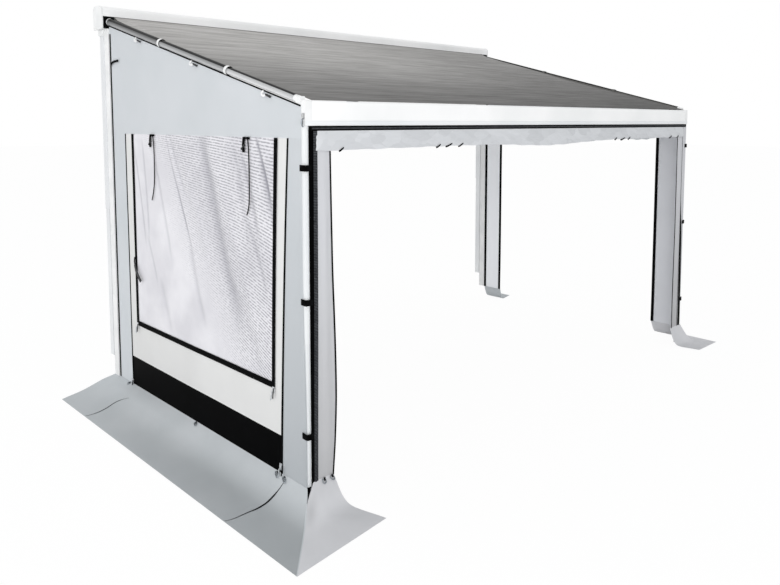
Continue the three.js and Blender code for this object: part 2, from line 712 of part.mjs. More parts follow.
function addRearPoles() {
  const top = cassetteUnderside - seatGap;
  for (const [side, sign] of sides) {
    const x = sign * (railEnd + pole.inset);
    const middle = (pole.rear + pole.front) / 2;
    const depth = pole.rear - pole.front;
    const headFoot = top - pole.headHeight;
    const cheek = pole.headWidth / 2;
    add(`rear_pole_head_${side}`, alongX(outline([
      [pole.front, headFoot], [pole.rear + pole.headProud, headFoot, pole.headProud],
      [pole.rear + pole.headProud, top], [pole.front, top],
    ]), x - cheek, x + cheek), whitePlastic);
    const upper = withHoles(
      centred(x, pole.width, middle, depth),
      centred(x, pole.width - 2 * pole.wall, middle, depth - 2 * pole.wall),
    );
    add(`rear_pole_upper_${side}`, alongZ(upper, pole.joint, headFoot - seatGap), rawAluminium);
    const lowerWidth = pole.width - 2 * pole.wall - 2 * seatGap;
    const lowerDepth = depth - 2 * pole.wall - 2 * seatGap;
    const lower = withHoles(
      centred(x, lowerWidth, middle, lowerDepth),
      centred(x, lowerWidth - 2 * pole.innerWall, middle, lowerDepth - 2 * pole.innerWall),
    );
    add(`rear_pole_lower_${side}`, alongZ(lower, pole.foot, pole.joint + pole.overlap), rawAluminium);
    const padHalf = pole.padWidth / 2;
    const pad = box2(x - padHalf, x + padHalf, wall.rearEdge + seatGap, pole.front - seatGap, clothThickness);
    add(`rear_pad_${side}`, alongZ(pad, wall.hem + seatGap, top), whiteFabric);
  }
}

// One sheet from the roller to the front edge of the rail, with a little sag
function addCanopy() {
  const start = new THREE.Vector2(frontFace + canopy.frontInset, railTop + canopy.frontUp);
  const fabricTop = rollerZ + roller.wound + seatGap;
  const slope = (fabricTop - start.y) / (rollerY - start.x);
  const lift = (roller.wound + seatGap) * (1 / Math.cos(Math.atan(slope)) - 1);
  const rows = [];
  for (let station = 0; station <= canopy.stations; station += 1) {
    const share = station / canopy.stations;
    const y = start.x + share * (rollerY - canopy.rearAhead - start.x);
    const straight = start.y + slope * (y - start.x) + share * lift;
    const z = straight - canopy.sag * Math.sin(Math.PI * share) ** 2;
    rows.push([-canopyHalf, canopyHalf].map((x) => new THREE.Vector3(x, y, z)));
  }
  add('canopy', cloth(rows, new THREE.Vector3(0, 0, clothThickness)), canopyFabric);
}

// Front fabric: zip band under the rail, rolled panel behind it and a strip beside each leg
const front = {
  inset: 0.5, bandDrop: 25, stripOuter: 20, stripInner: 165, folds: 6, foldDepth: 9, stripRows: 4,
  rollInset: 110, rollRear: 94, rollGap: 1.4, rollDrop: 132, rollStations: 28, rollSides: 12,
  rollSwell: 5, rollWaveShare: 0.23, flatShare: 0.6,
};
const stripDownShares = [0, 0.12, 0.55, 0.9, 1];

function addFrontFabric() {
  const outer = frontFace + front.inset;
  const bandTop = railUnderside - seatGap;
  const bandFoot = railUnderside - front.bandDrop;
  const bandEnd = railEnd - front.stripOuter;
  add('top_zip_band', alongX(
    box2(outer, outer + clothThickness, bandFoot, bandTop), -bandEnd, bandEnd,
  ), blackFabric);

  for (const [side, sign] of sides) {
    const rows = [];
    const stripTop = bandFoot - seatGap;
    const stripFoot = wall.hem + seatGap;
    for (const share of stripDownShares) {
      const row = [];
      for (let column = 0; column <= 2 * front.folds; column += 1) {
        const across = column / (2 * front.folds);
        const x = railEnd - front.stripOuter - across * (front.stripInner - front.stripOuter);
        const billow = front.foldDepth * across * Math.sin(Math.PI * share);
        const wave = billow * (front.flatShare + (1 - front.flatShare) * Math.cos(Math.PI * column));
        row.push(new THREE.Vector3(sign * x, outer - wave, stripTop + share * (stripFoot - stripTop)));
      }
      rows.push(row);
    }
    add(`front_strip_${side}`, cloth(rows, new THREE.Vector3(0, clothThickness, 0)), greyFabric);
  }

  const rollFront = channelRear + front.rollGap;
  const rollRear = frontFace + front.rollRear;
  const centreY = (rollFront + rollRear) / 2;
  const centreZ = bandTop - front.rollDrop / 2;
  const rollEnd = railEnd - front.rollInset;
  const rings = [];
  for (let station = 0; station <= front.rollStations; station += 1) {
    const x = -rollEnd + (station / front.rollStations) * 2 * rollEnd;
    const swell = front.rollSwell * Math.sin(station * station * front.rollWaveShare);
    const ring = [];
    for (let step = 0; step < front.rollSides; step += 1) {
      const angle = (step / front.rollSides) * 2 * Math.PI;
      const low = Math.max(0, -Math.sin(angle));
      const halfDepth = (rollRear - rollFront) / 2;
      const y = centreY + (halfDepth - Math.abs(swell) * low) * Math.cos(angle);
      const z = centreZ + (front.rollDrop / 2) * Math.sin(angle) + swell * low;
      ring.push(new THREE.Vector3(x, y, z));
    }
    rings.push(ring);
  }
  add('front_roll', loft(rings), greyFabric);
}

// Skirts: fabric that runs from the hem down to the ground and lies outwards on it
const skirt = {
  stations: 8, sheet: 1.4, seam: 3, leftOut: 347.5, leftAhead: 377, rearOut: 363.5, rearBack: 182,
  hemBack: 86, tipIn: 101, tipAhead: 303, rightOut: 217.5, rightAhead: 250, rightIn: 35,
  rightInAhead: 240, sideOut: 227.5, sideBack: 121, backOut: 292.5, backBack: 84, backRear: 34,
};
const skirtOutShares = [0, 0.05, 0.1, 0.16, 0.24, 0.36, 0.6, 1];
const skirtDownShares = [1, 0.76, 0.5, 0.28, 0.12, 0.03, 0, 0];

// One line of a skirt from its hem point to its tip on the ground
function skirtRow(hemX, hemY, tipX, tipY) {
  return skirtOutShares.map((outShare, index) => new THREE.Vector3(
    hemX + outShare * (tipX - hemX),
    hemY + outShare * (tipY - hemY),
    skirt.sheet + skirtDownShares[index] * (wall.hem - skirt.sheet),
  ));
}

// Rows between a list of [hemX, hemY, tipX, tipY] corners
function skirtRows(corners, steps) {
  const rows = [skirtRow(...corners[0])];
  for (let corner = 1; corner < corners.length; corner += 1) {
    for (let step = 1; step <= steps; step += 1) {
      const mix = corners[corner].map((end, axis) => {
        const from = corners[corner - 1][axis];
        return from + (step / steps) * (end - from);
      });
      rows.push(skirtRow(...mix));
    }
  }
  return rows;
}

function addSkirts() {
  const hemY = frontFace + front.inset;
  const cornerX = -wallOuter - skirt.leftOut;
  const cornerY = frontFace - skirt.leftAhead;
  const rearTipX = -wallOuter - skirt.rearOut;
  const left = skirtRows([
    [-wallOuter, wall.rearEdge + skirt.hemBack, rearTipX, wall.rearEdge + skirt.rearBack],
    [-wallOuter, hemY + skirt.seam, cornerX, cornerY + skirt.seam],
  ], skirt.stations);
  add('left_skirt', cloth(left, new THREE.Vector3(skirt.sheet, 0, -skirt.sheet)), skirtFabric);

  const inner = railEnd - front.stripInner;
  const frontLeft = skirtRows([
    [skirt.seam - wallOuter, hemY, cornerX + skirt.seam, cornerY],
    [-inner, hemY, skirt.tipIn - inner, frontFace - skirt.tipAhead],
  ], skirt.stations / 2);
  add('front_skirt_left', cloth(frontLeft, new THREE.Vector3(0, skirt.sheet, -skirt.sheet)), skirtFabric);

  const sideTipX = wallOuter + skirt.sideOut;
  const frontRight = skirtRows([
    [inner, hemY, inner + skirt.rightIn, frontFace - skirt.rightInAhead],
    [wallInner, hemY, wallOuter + skirt.rightOut, frontFace - skirt.rightAhead],
    [wallOuter, wall.frontEdge, sideTipX, wall.frontEdge],
    [wallOuter, wall.frontZip, sideTipX, wall.frontZip + skirt.sideBack],
  ], skirt.stations / 4);
  const inwards = new THREE.Vector3(-skirt.sheet, skirt.sheet, -skirt.sheet);
  add('front_skirt_right', cloth(frontRight, inwards), skirtFabric);

  const backTipX = wallOuter + skirt.backOut;
  const rearRight = skirtRows([
    [wallOuter, wall.rearZip, backTipX, wall.rearZip + skirt.backBack],
    [wallOuter, wall.rearEdge, backTipX, wall.rearEdge + skirt.backRear],
  ], skirt.stations / 2);
  add('rear_skirt_right', cloth(rearRight, new THREE.Vector3(-skirt.sheet, 0, -skirt.sheet)), skirtFabric);
}

addCassette();
addCassetteCaps();
addWallBrackets();
addRoller();
addWorm();
addArms();
addArmBrackets();
addRafters();
addRail();
addLegs();
addSideWalls();
addRearPoles();
addCanopy();
addFrontFabric();
addSkirts();

model.position.z = -mountHeight;

export default model;
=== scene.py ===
import math

import bmesh
import bpy
from mathutils import Matrix, Vector


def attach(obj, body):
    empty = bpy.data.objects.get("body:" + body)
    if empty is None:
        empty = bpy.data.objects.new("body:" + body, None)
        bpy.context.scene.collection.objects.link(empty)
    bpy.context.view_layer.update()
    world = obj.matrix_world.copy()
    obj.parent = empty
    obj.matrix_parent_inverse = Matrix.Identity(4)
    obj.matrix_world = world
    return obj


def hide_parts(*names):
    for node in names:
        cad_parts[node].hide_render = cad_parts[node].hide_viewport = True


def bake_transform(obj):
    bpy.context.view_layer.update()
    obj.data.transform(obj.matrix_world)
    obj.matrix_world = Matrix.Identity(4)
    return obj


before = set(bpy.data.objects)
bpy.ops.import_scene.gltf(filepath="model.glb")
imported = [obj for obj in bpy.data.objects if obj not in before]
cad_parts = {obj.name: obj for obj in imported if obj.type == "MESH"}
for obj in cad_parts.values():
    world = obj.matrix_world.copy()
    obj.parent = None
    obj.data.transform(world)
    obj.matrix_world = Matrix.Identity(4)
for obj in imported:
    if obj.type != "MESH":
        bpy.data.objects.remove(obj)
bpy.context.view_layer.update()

# Places that several pieces share, in metres. Heights are counted from the ground.
site = {
    "mountHeight": 2.78, "front": -2.5, "wallInner": 2.1505, "railTop": 2.137, "hem": 0.1375,
    "windowTop": 1.949, "windowFoot": 0.6, "kickTop": 0.35, "wallFront": -2.47, "frontZip": -2.356,
    "windowFront": -2.236, "windowRear": -0.512, "rearZip": -0.414, "rearEdge": -0.184,
    "pitch": math.radians(14.9), "rafterX": 2.14, "rafterRear": (-0.148, 2.754),
}
slope = math.tan(site["pitch"])
sides = (("Left", -1), ("Right", 1))


def up(height):
    return height - site["mountHeight"]


def mix(a, b, share):
    return a + (b - a) * share


def ease(share):
    share = min(max(share, 0), 1)
    return share * share * (3 - 2 * share)


def rafterHeight(y):
    # Height of the rafters' middle line
    return site["rafterRear"][1] + (y - site["rafterRear"][0]) * slope


# Camera, floor, light

cameraSettings = {
    "place": (-4.3074, -5.3721, -0.7497), "look": (0.68756, 0.72114, -0.08499), "lens": 33.161,
    "shiftY": -0.13986,
}


def makeCamera():
    data = bpy.data.cameras.new("studioCamera")
    data.sensor_width = 36
    data.lens = cameraSettings["lens"]
    data.shift_y = cameraSettings["shiftY"]
    data.clip_end = 200
    camera = bpy.data.objects.new("studioCamera", data)
    camera.location = cameraSettings["place"]
    camera.rotation_euler = Vector(cameraSettings["look"]).to_track_quat("-Z", "Y").to_euler()
    bpy.context.scene.collection.objects.link(camera)
    bpy.context.scene.camera = camera


def linear(hexColour):
    # sRGB hex to the linear values that a shader takes
    parts = [int(hexColour[i:i + 2], 16) / 255 for i in (1, 3, 5)]
    return (*[p / 12.92 if p <= 0.04045 else ((p + 0.055) / 1.055) ** 2.4 for p in parts], 1)


def feed(tree, node, inputs):
    # An input takes a value, a hex colour, a socket, or a node, which gives its first output in use
    for name, value in inputs.items():
        if isinstance(value, bpy.types.Node):
            value = next(socket for socket in value.outputs if socket.enabled)
        if isinstance(value, bpy.types.NodeSocket):
            tree.links.new(value, node.inputs[name])
        else:
            node.inputs[name].default_value = linear(value) if isinstance(value, str) else value


def addNode(tree, kind, inputs=None, **settings):
    node = tree.nodes.new("ShaderNode" + kind)
    for name, value in settings.items():
        setattr(node, name, value)
    feed(tree, node, inputs or {})
    return node


def whiteShare(tree, most=1.0):
    # Share of plain white that the camera, metal and glass see; other rays see the real surface
    rays = addNode(tree, "LightPath").outputs
    seen = rays["Is Camera Ray"]
    for ray in ("Is Glossy Ray", "Is Transmission Ray"):
        seen = addNode(tree, "Math", {0: seen, 1: rays[ray]}, operation="MAXIMUM")
    return addNode(tree, "Math", {0: seen, 1: most}, operation="MULTIPLY")


stageSettings = {"floorHalf": 60, "gap": 0.002, "floorWhite": 0.96, "daylight": 0.8}


def makeStage():
    c = stageSettings
    bm = bmesh.new()
    bmesh.ops.create_grid(bm, x_segments=2, y_segments=2, size=c["floorHalf"])
    bmesh.ops.translate(bm, vec=(0, 0, up(-c["gap"])), verts=bm.verts)
    mesh = bpy.data.meshes.new("studioFloor")
    bm.to_mesh(mesh)
    bm.free()
    floor = bpy.data.objects.new("studioFloor", mesh)
    bpy.context.scene.collection.objects.link(floor)
    material = bpy.data.materials.new("palePaperFloor")
    material.use_nodes = True
    tree = material.node_tree
    tree.nodes.clear()
    paper = addNode(tree, "BsdfDiffuse", {"Color": "#FFFFFF"})
    glow = addNode(tree, "Emission", {"Color": "#FFFFFF", "Strength": 1.0})
    both = addNode(tree, "MixShader", {0: whiteShare(tree, c["floorWhite"]), 1: paper, 2: glow})
    addNode(tree, "OutputMaterial", {"Surface": both})
    mesh.materials.append(material)

    world = bpy.data.worlds.new("studioWorld")
    world.use_nodes = True
    bpy.context.scene.world = world
    tree = world.node_tree
    tree.nodes.clear()
    soft = addNode(tree, "Background", {"Color": "#F5F6F7", "Strength": c["daylight"]})
    white = addNode(tree, "Background", {"Color": "#FFFFFF", "Strength": 1.0})
    both = addNode(tree, "MixShader", {0: whiteShare(tree), 1: soft, 2: white})
    addNode(tree, "OutputWorld", {"Surface": both})


lamps = {
    "frontSoftBox": {"place": (-7.0, -9.5, 0.2), "aim": (0, -1.5, -1.4), "size": 5.0, "power": 330},
    "leftSoftBox": {"place": (-11.0, -2.0, 1.6), "aim": (-1.5, -1.4, -1.2), "size": 6.0, "power": 110},
    "topSoftBox": {"place": (-4.5, 1.5, 5.5), "aim": (-1.0, -1.0, -0.5), "size": 4.0, "power": 50},
}


def makeLamps():
    for name, lamp in lamps.items():
        data = bpy.data.lights.new(name, "AREA")
        data.size = lamp["size"]
        data.energy = lamp["power"]
        light = bpy.data.objects.new(name, data)
        light.location = lamp["place"]
        aim = Vector(lamp["aim"]) - Vector(lamp["place"])
        light.rotation_euler = aim.to_track_quat("-Z", "Y").to_euler()
        bpy.context.scene.collection.objects.link(light)


bpy.context.scene.view_settings.view_transform = "Standard"
makeCamera()
makeStage()
makeLamps()
print("camera, floor and lamps are up")


# Finishes

waveUnit = math.pi / 10  # a wave texture of scale 1 repeats at this length, in metres
threadWidth = 0.004  # cloth threads of about 1 mm are drawn at 4 mm, so that they show


def startMaterial(name, base, roughness, metallic=0.0, gloss=0.5):
    # gloss is the specular level
    material = bpy.data.materials.new(name)
    material.use_nodes = True
    tree = material.node_tree
    tree.nodes.clear()
    shader = addNode(tree, "BsdfPrincipled", {"Base Color": base, "Roughness": roughness,
                                              "Metallic": metallic, "Specular IOR Level": gloss})
    addNode(tree, "OutputMaterial", {"Surface": shader})
    return material, tree, shader, addNode(tree, "TexCoord").outputs


def patches(tree, place, dark, light, scale, detail=3.0, low=0.35, high=0.65):
    # Soft patches between two near colours, as dust and handling leave them
    cloud = addNode(tree, "TexNoise", {"Vector": place["Object"], "Scale": scale, "Detail": detail})
    amount = addNode(tree, "MapRange", {"Value": cloud, "From Min": low, "From Max": high})
    return addNode(tree, "Mix", {"Factor": amount, "A": dark, "B": light}, data_type="RGBA")


def dress(material, shader, tone, height, strength, depth, more=None):
    # Joins a colour, a relief of that depth and any further inputs to the shader
    tree = material.node_tree
    bump = addNode(tree, "Bump", {"Height": height, "Strength": strength, "Distance": depth})
    feed(tree, shader, {"Base Color": tone, "Normal": bump, **(more or {})})
    return material


def weave(tree, place):
    # Two crossed wave patterns: the over and under of a plain weave
    waves = [addNode(tree, "TexWave", {"Vector": place["Object"], "Scale": waveUnit / threadWidth},
                     bands_direction=way).outputs["Fac"] for way in "ZY"]
    return addNode(tree, "Math", {0: waves[0], 1: waves[1]}, operation="MULTIPLY")


# Plain finishes. "patch" is two near colours and how many patches a metre; "grain" is how many grains
# a metre along x, y and z, and their detail, strength and depth.
plainFinishes = {
    # Polyester powder coat on extruded aluminium: satin white with a faint orange peel of 2 mm
    "powder": {"name": "powderCoatedAluminium", "base": "#F0F1F1", "roughness": 0.36,
               "patch": ("#EAEBEB", "#F4F4F4", 1.6), "grain": ((520, 520, 520), 2.0, 0.12, 0.0004)},
    # Legs and the rail's lower lip: a greyer copy of the same powder coat, painted shade
    "powderPaintedShade": {"name": "powderCoatPaintedShade", "base": "#E4E6E8", "roughness": 0.4,
                  "patch": ("#DDE0E2", "#E8EAEB", 1.6)},
    # Injection-moulded ASA: matter and a little greyer than the coated rail; its fine spark texture
    # is drawn at 1.1 mm
    "moulded": {"name": "mouldedWhiteAsa", "base": "#E9EAEA", "roughness": 0.48,
                "patch": ("#E3E4E4", "#EEEEEE", 9.0), "grain": ((900, 900, 900), 3.0, 0.18, 0.0003)},
    # Anodised aluminium extrusion: satin, with faint draw lines of 1.1 mm along its length
    "anodised": {"name": "anodisedAluminium", "base": "#B9BDC1", "roughness": 0.38, "metallic": 1.0,
                 "patch": ("#B0B4B8", "#C3C6CA", 5.0), "grain": ((900, 900, 6), 2.0, 0.12, 0.0003)},
    # Anodised pole: pale and satin, with faint draw lines of 1.2 mm along it
    "pole": {"name": "silverPoleTube", "base": "#E3E5E7", "roughness": 0.38, "metallic": 0.35,
             "patch": ("#DFE1E3", "#E7E9EA", 3.0), "grain": ((800, 800, 5), 2.0, 0.1, 0.0003)},
    # Polished zinc sliders: nearly white where they catch the light
    "brightZinc": {"name": "polishedZincSlider", "base": "#D5D8DA", "roughness": 0.3, "metallic": 0.8,
                   "patch": ("#C4C8CB", "#E0E2E4", 60.0)},
    # Glass-filled nylon: charcoal black, matt; its fine eroded texture is drawn at 0.7 mm
    "nylon": {"name": "glassFilledNylon", "base": "#1C1D1F", "roughness": 0.58,
              "patch": ("#161719", "#232427", 40.0), "grain": ((1400, 1400, 1400), 2.0, 0.25, 0.0003)},
}


def makePlainFinish(name, base, roughness, patch, metallic=0.0, grain=None):
    material, tree, shader, place = startMaterial(name, base, roughness, metallic)
    tone = patches(tree, place, *patch)
    if not grain:
        feed(tree, shader, {"Base Color": tone})
        return material
    scale, detail, strength, depth = grain
    space = addNode(tree, "Mapping", {"Vector": place["Object"], "Scale": scale})
    fine = addNode(tree, "TexNoise", {"Vector": space, "Scale": 1.0, "Detail": detail})
    return dress(material, shader, tone, fine, strength, depth)


def makePaintedTube(name, tone, paintedShadeAbove, radius, crown=0.5):
    # Satin anodised tube of a rafter, with a faint draw line every 1.4 millimetres: pale below, with
    # painted shade above. Its crown, from that share of its radius upwards, and the side beside the awning
    # get a painted reflection of the dark cloth, near black and with little gloss.
    material, tree, shader, place = startMaterial(name, tone, 0.4, 0.2)
    parts = addNode(tree, "SeparateXYZ", {"Vector": place["Object"]}).outputs
    outward = addNode(tree, "Math", {0: parts["X"]}, operation="ABSOLUTE")
    fall = addNode(tree, "Math", {0: parts["Y"], 1: -slope}, operation="MULTIPLY")
    height = addNode(tree, "Math", {0: parts["Z"], 1: fall}, operation="ADD")
    middle = up(rafterHeight(0))
    upper, top = [addNode(tree, "MapRange", {"Value": height, "From Min": middle + low * radius,
                                             "From Max": middle + high * radius})
                  for low, high in ((-0.4, crown), (crown, crown + 0.12))]
    inner = addNode(tree, "MapRange", {"Value": outward, "From Min": site["rafterX"],
                                       "From Max": site["rafterX"] - 0.003})
    # Painted shade above, then the painted reflection of the dark awning on the inboard side and the crown
    for mask, colour in ((upper, paintedShadeAbove), (inner, "#62615F"), (top, "#161616")):
        tone = addNode(tree, "Mix", {"Factor": mask, "A": tone, "B": colour}, data_type="RGBA")
    paintedReflection = addNode(tree, "Math", {0: top, 1: inner}, operation="MAXIMUM")
    gloss = addNode(tree, "MapRange", {"Value": paintedReflection, "To Min": 0.5, "To Max": 0.05})
    space = addNode(tree, "Mapping", {"Vector": place["Object"], "Scale": (700, 6, 700)})
    lines = addNode(tree, "TexNoise", {"Vector": space, "Scale": 1.0})
    return dress(material, shader, tone, lines, 0.1, 0.0003, {"Specular IOR Level": gloss})


def makeCanopyWeave():
    # Spun-dyed acrylic, woven: grey yarns of uneven shade, so fine streaks run along the awning.
    # A yarn is 0.5 mm and a slub 200 mm long; the streaks that the eye sees are 6 to 70 mm wide.
    material, tree, shader, place = startMaterial("wovenGreyAcrylic", "#7A7876", 0.85, gloss=0.06)
    layers = []
    for scale, detail in (((4.0, 170, 170), 3.0), ((2.4, 48, 48), 2.0), ((1.1, 15, 15), 2.0)):
        space = addNode(tree, "Mapping", {"Vector": place["Object"], "Scale": scale})
        layers.append(addNode(tree, "TexNoise", {"Vector": space, "Scale": 1.0, "Detail": detail,
                                                 "Roughness": 0.65}))
    streaks = layers[0]
    for layer, share in zip(layers[1:], (0.42, 0.2)):
        streaks = addNode(tree, "Mix", {"Factor": share, "A": streaks, "B": layer}, data_type="FLOAT")
    strength = addNode(tree, "MapRange", {"Value": streaks, "From Min": 0.36, "From Max": 0.64})
    # Painted sheen: paler at the rear left and around a spot left of the middle
    paintedSheenSlope = addNode(tree, "VectorMath", {0: place["Object"], 1: (-0.0635, 0.301, 0)},
                   operation="DOT_PRODUCT")
    spot = addNode(tree, "Mapping", {"Vector": place["Object"], "Location": (0.67, 1.43, 0),
                                     "Scale": (0.83, 1.43, 0)})
    reach = addNode(tree, "VectorMath", {0: spot}, operation="LENGTH")
    paler = addNode(tree, "MapRange", {"Value": reach, "From Min": 0.2, "From Max": 1.7,
                                       "To Min": 1.15, "To Max": 0.825})
    paintedSheen = addNode(tree, "Math", {0: paintedSheenSlope, 1: paler}, operation="ADD", use_clamp=True)
    # Each tone without and with the painted sheen
    dark, light = [addNode(tree, "Mix", {"Factor": paintedSheen, "A": withoutSheen, "B": pale}, data_type="RGBA")
                   for withoutSheen, pale in (("#454544", "#94928F"), ("#6F6E6D", "#D2D0CE"))]
    tone = addNode(tree, "Mix", {"Factor": strength, "A": dark, "B": light}, data_type="RGBA")
    return dress(material, shader, tone, layers[0], 0.25, 0.0005,
                 {"Sheen Weight": 0.05, "Sheen Roughness": 0.4})


def makeCoatedCloth(name, dark, light, roughness=0.62, relief=0.12, gloss=0.22, glow=0.0, paintedShadeTone=None,
                    hemTone=None):
    # PU-coated polyester: matt, with thread relief and soft creases of handling. Painted shade darkens it
    # where the "shade" of its points says, and the hem's tone grows towards the ground.
    material, tree, shader, place = startMaterial(name, light, roughness, gloss=gloss)
    tone = patches(tree, place, dark, light, 2.3, 4.0, 0.3, 0.7)
    if paintedShadeTone:
        shade = addNode(tree, "Attribute", attribute_name="shade").outputs["Fac"]
        tone = addNode(tree, "Mix", {"Factor": shade, "A": tone, "B": paintedShadeTone}, data_type="RGBA")
    if hemTone:
        height = addNode(tree, "SeparateXYZ", {"Vector": place["Object"]}).outputs["Z"]
        low = addNode(tree, "MapRange", {"Value": height, "From Min": up(2.4), "From Max": up(0.3)})
        tone = addNode(tree, "Mix", {"Factor": low, "A": tone, "B": hemTone}, data_type="RGBA")
    threads = addNode(tree, "Math", {0: weave(tree, place), 1: 0.03}, operation="MULTIPLY")
    crease = addNode(tree, "TexNoise", {"Vector": place["Object"], "Scale": 5.0, "Detail": 3.0,
                                        "Distortion": 0.6})
    both = addNode(tree, "Math", {0: threads, 1: crease}, operation="ADD")
    dress(material, shader, tone, both, relief, 0.006)
    if glow:
        # Some daylight comes through the cloth from its other side
        passed = addNode(tree, "BsdfTranslucent", {"Color": light})
        blend = addNode(tree, "MixShader", {0: glow, 1: shader, 2: passed})
        feed(tree, tree.nodes["Material Output"], {"Surface": blend})
    return material


def makeStripCloth():
    # Grey polyester of the front strips: warmer and darker towards the hem
    material, tree, shader, place = startMaterial("frontStripPolyester", "#C2C3C6", 0.6, gloss=0.2)
    cloud = addNode(tree, "TexNoise", {"Vector": place["Object"], "Scale": 4.0, "Detail": 4.0})
    # Tones up top and near the hem
    clean, worn = [addNode(tree, "Mix", {"Factor": cloud, "A": dark, "B": light}, data_type="RGBA")
                   for dark, light in (("#BFC0C4", "#C8C9CC"), ("#A9A9AA", "#B7B7B9"))]
    height = addNode(tree, "SeparateXYZ", {"Vector": place["Object"]}).outputs["Z"]
    amount = addNode(tree, "MapRange", {"Value": height, "From Min": up(0.1), "From Max": up(1.5)})
    tone = addNode(tree, "Mix", {"Factor": amount, "A": worn, "B": clean}, data_type="RGBA")
    return dress(material, shader, tone, weave(tree, place), 0.05, 0.004)


def makeCrumpledCloth():
    # The same grey cloth where it is bunched: facets about 90 mm wide and 40 mm high catch the light, as
    # painted light in its colour and as a relief
    material, tree, shader, place = startMaterial("bunchedGreyPolyester", "#CFD0D3", 0.55, gloss=0.22)
    space = addNode(tree, "Mapping", {"Vector": place["Object"], "Scale": (1, 1, 2.2)})
    wobble = addNode(tree, "TexNoise", {"Vector": space, "Scale": 4.0, "Detail": 3.0})
    shifted = addNode(tree, "Mix", {"Factor": 0.22, "A": space, "B": wobble.outputs["Color"]},
                      data_type="VECTOR")
    paintedFacetLight = addNode(tree, "TexVoronoi", {"Vector": shifted, "Scale": 11.0}).outputs["Color"]
    amount = addNode(tree, "MapRange", {"Value": paintedFacetLight, "From Min": 0.2, "From Max": 0.85})
    tone = addNode(tree, "Mix", {"Factor": amount, "A": "#C3C5C8", "B": "#CDCFD2"}, data_type="RGBA")
    return dress(material, shader, tone, wobble, 0.35, 0.02)


def makeWindowNet():
    # Flexible PVC film with a printed fine net: milky and slightly glossy. The net's threads cross
    # every 1.2 mm; what the eye sees is the 15 mm moire of slanting dashes, stronger to the front.
    material, tree, shader, place = startMaterial("milkyWindowFilm", "#E5E5E9", 0.34, gloss=0.3)
    parts = addNode(tree, "SeparateXYZ", {"Vector": place["Object"]}).outputs
    # Rows sag: their slope grows from 4 degrees at the top of the window to 20 at its foot
    depth = addNode(tree, "MapRange", {"Value": parts["Z"], "From Min": up(1.95), "From Max": up(0.6),
                                       "To Min": 0.06, "To Max": 0.40})
    ahead = addNode(tree, "Math", {0: parts["Y"], 1: 1.5}, operation="ADD")
    fall = addNode(tree, "Math", {0: depth, 1: ahead}, operation="MULTIPLY")
    line = addNode(tree, "Math", {0: parts["Z"], 1: fall}, operation="SUBTRACT")
    rowSpace = addNode(tree, "CombineXYZ", {"X": parts["Y"], "Z": line})
    rows = addNode(tree, "TexWave", {"Vector": rowSpace, "Scale": waveUnit / 0.0155,
                                     "Distortion": 0.5}, bands_direction="Z").outputs["Fac"]
    dashSpace = addNode(tree, "Mapping", {"Vector": place["Object"], "Scale": (1, 45, 95)})
    breaks = addNode(tree, "TexNoise", {"Vector": dashSpace, "Scale": 1.0, "Detail": 1.0})
    softBreaks = addNode(tree, "MapRange", {"Value": breaks, "From Min": 0.3, "From Max": 0.6,
                                            "To Min": 0.35})
    dashes = addNode(tree, "Math", {0: rows, 1: softBreaks}, operation="MULTIPLY")
    # The net shows from the upper front corner and fades out along a slanting line
    cloud = addNode(tree, "TexNoise", {"Vector": place["Object"], "Scale": 3.5, "Detail": 4.0})
    reach = addNode(tree, "Math", {0: parts["Y"], 1: -1.25}, operation="MULTIPLY")
    for term in (parts["Z"], cloud):
        reach = addNode(tree, "Math", {0: reach, 1: term}, operation="ADD")
    shown = addNode(tree, "MapRange", {"Value": reach, "From Min": 0.25, "From Max": 1.05})
    net = addNode(tree, "Math", {0: dashes, 1: shown}, operation="MULTIPLY")
    netMask = addNode(tree, "MapRange", {"Value": net, "From Min": 0.2, "From Max": 0.85,
                                         "To Max": 0.78})
    cloudMask = addNode(tree, "MapRange", {"Value": cloud, "From Min": 0.35, "From Max": 0.65})
    # Painted shade along the creases, from the points' "shade"
    shade = addNode(tree, "Attribute", attribute_name="shade").outputs["Fac"]
    tone = "#D3D2D7"
    for mask, colour in ((cloudMask, "#E3E2E6"), (shade, "#8E8E96"), (netMask, "#86858D")):
        tone = addNode(tree, "Mix", {"Factor": mask, "A": tone, "B": colour}, data_type="RGBA")
    return dress(material, shader, tone, cloud, 0.08, 0.01, {"Coat Weight": 0.15, "Coat Roughness": 0.2})


def makeZipTape():
    # Nylon coil zip: black; its 3 mm teeth are drawn every 12 mm, raised out of a dull woven tape
    material, tree, shader, place = startMaterial("nylonZip", "#0A0B0B", 0.6, gloss=0.015)
    teeth = addNode(tree, "TexWave", {"Vector": place["UV"], "Scale": waveUnit / 0.012},
                    bands_direction="Y").outputs["Fac"]
    tone = addNode(tree, "Mix", {"Factor": teeth, "A": "#020202", "B": "#101112"}, data_type="RGBA")
    return dress(material, shader, tone, teeth, 0.6, 0.001)


def makeTeeth():
    # Coil of the tent's big zips: nylon teeth of 3 mm, drawn every 8 mm, with painted grey highlights on
    # their crowns
    material, tree, shader, place = startMaterial("zipTeethPaintedHighlight", "#3A3B3D", 0.5, gloss=0.06)
    teeth = addNode(tree, "TexWave", {"Vector": place["UV"], "Scale": waveUnit / 0.008,
                                      "Distortion": 0.8}, bands_direction="Y").outputs["Fac"]
    # Noise that breaks up the painted highlights
    worn = addNode(tree, "TexNoise", {"Vector": place["UV"], "Scale": 45.0, "Detail": 3.0})
    amount = addNode(tree, "Math", {0: teeth, 1: worn}, operation="MULTIPLY")
    amount = addNode(tree, "MapRange", {"Value": amount, "From Min": 0.05, "From Max": 0.6})
    tone = addNode(tree, "Mix", {"Factor": amount, "A": "#161719", "B": "#55575B"}, data_type="RGBA")
    return dress(material, shader, tone, teeth, 0.8, 0.002)


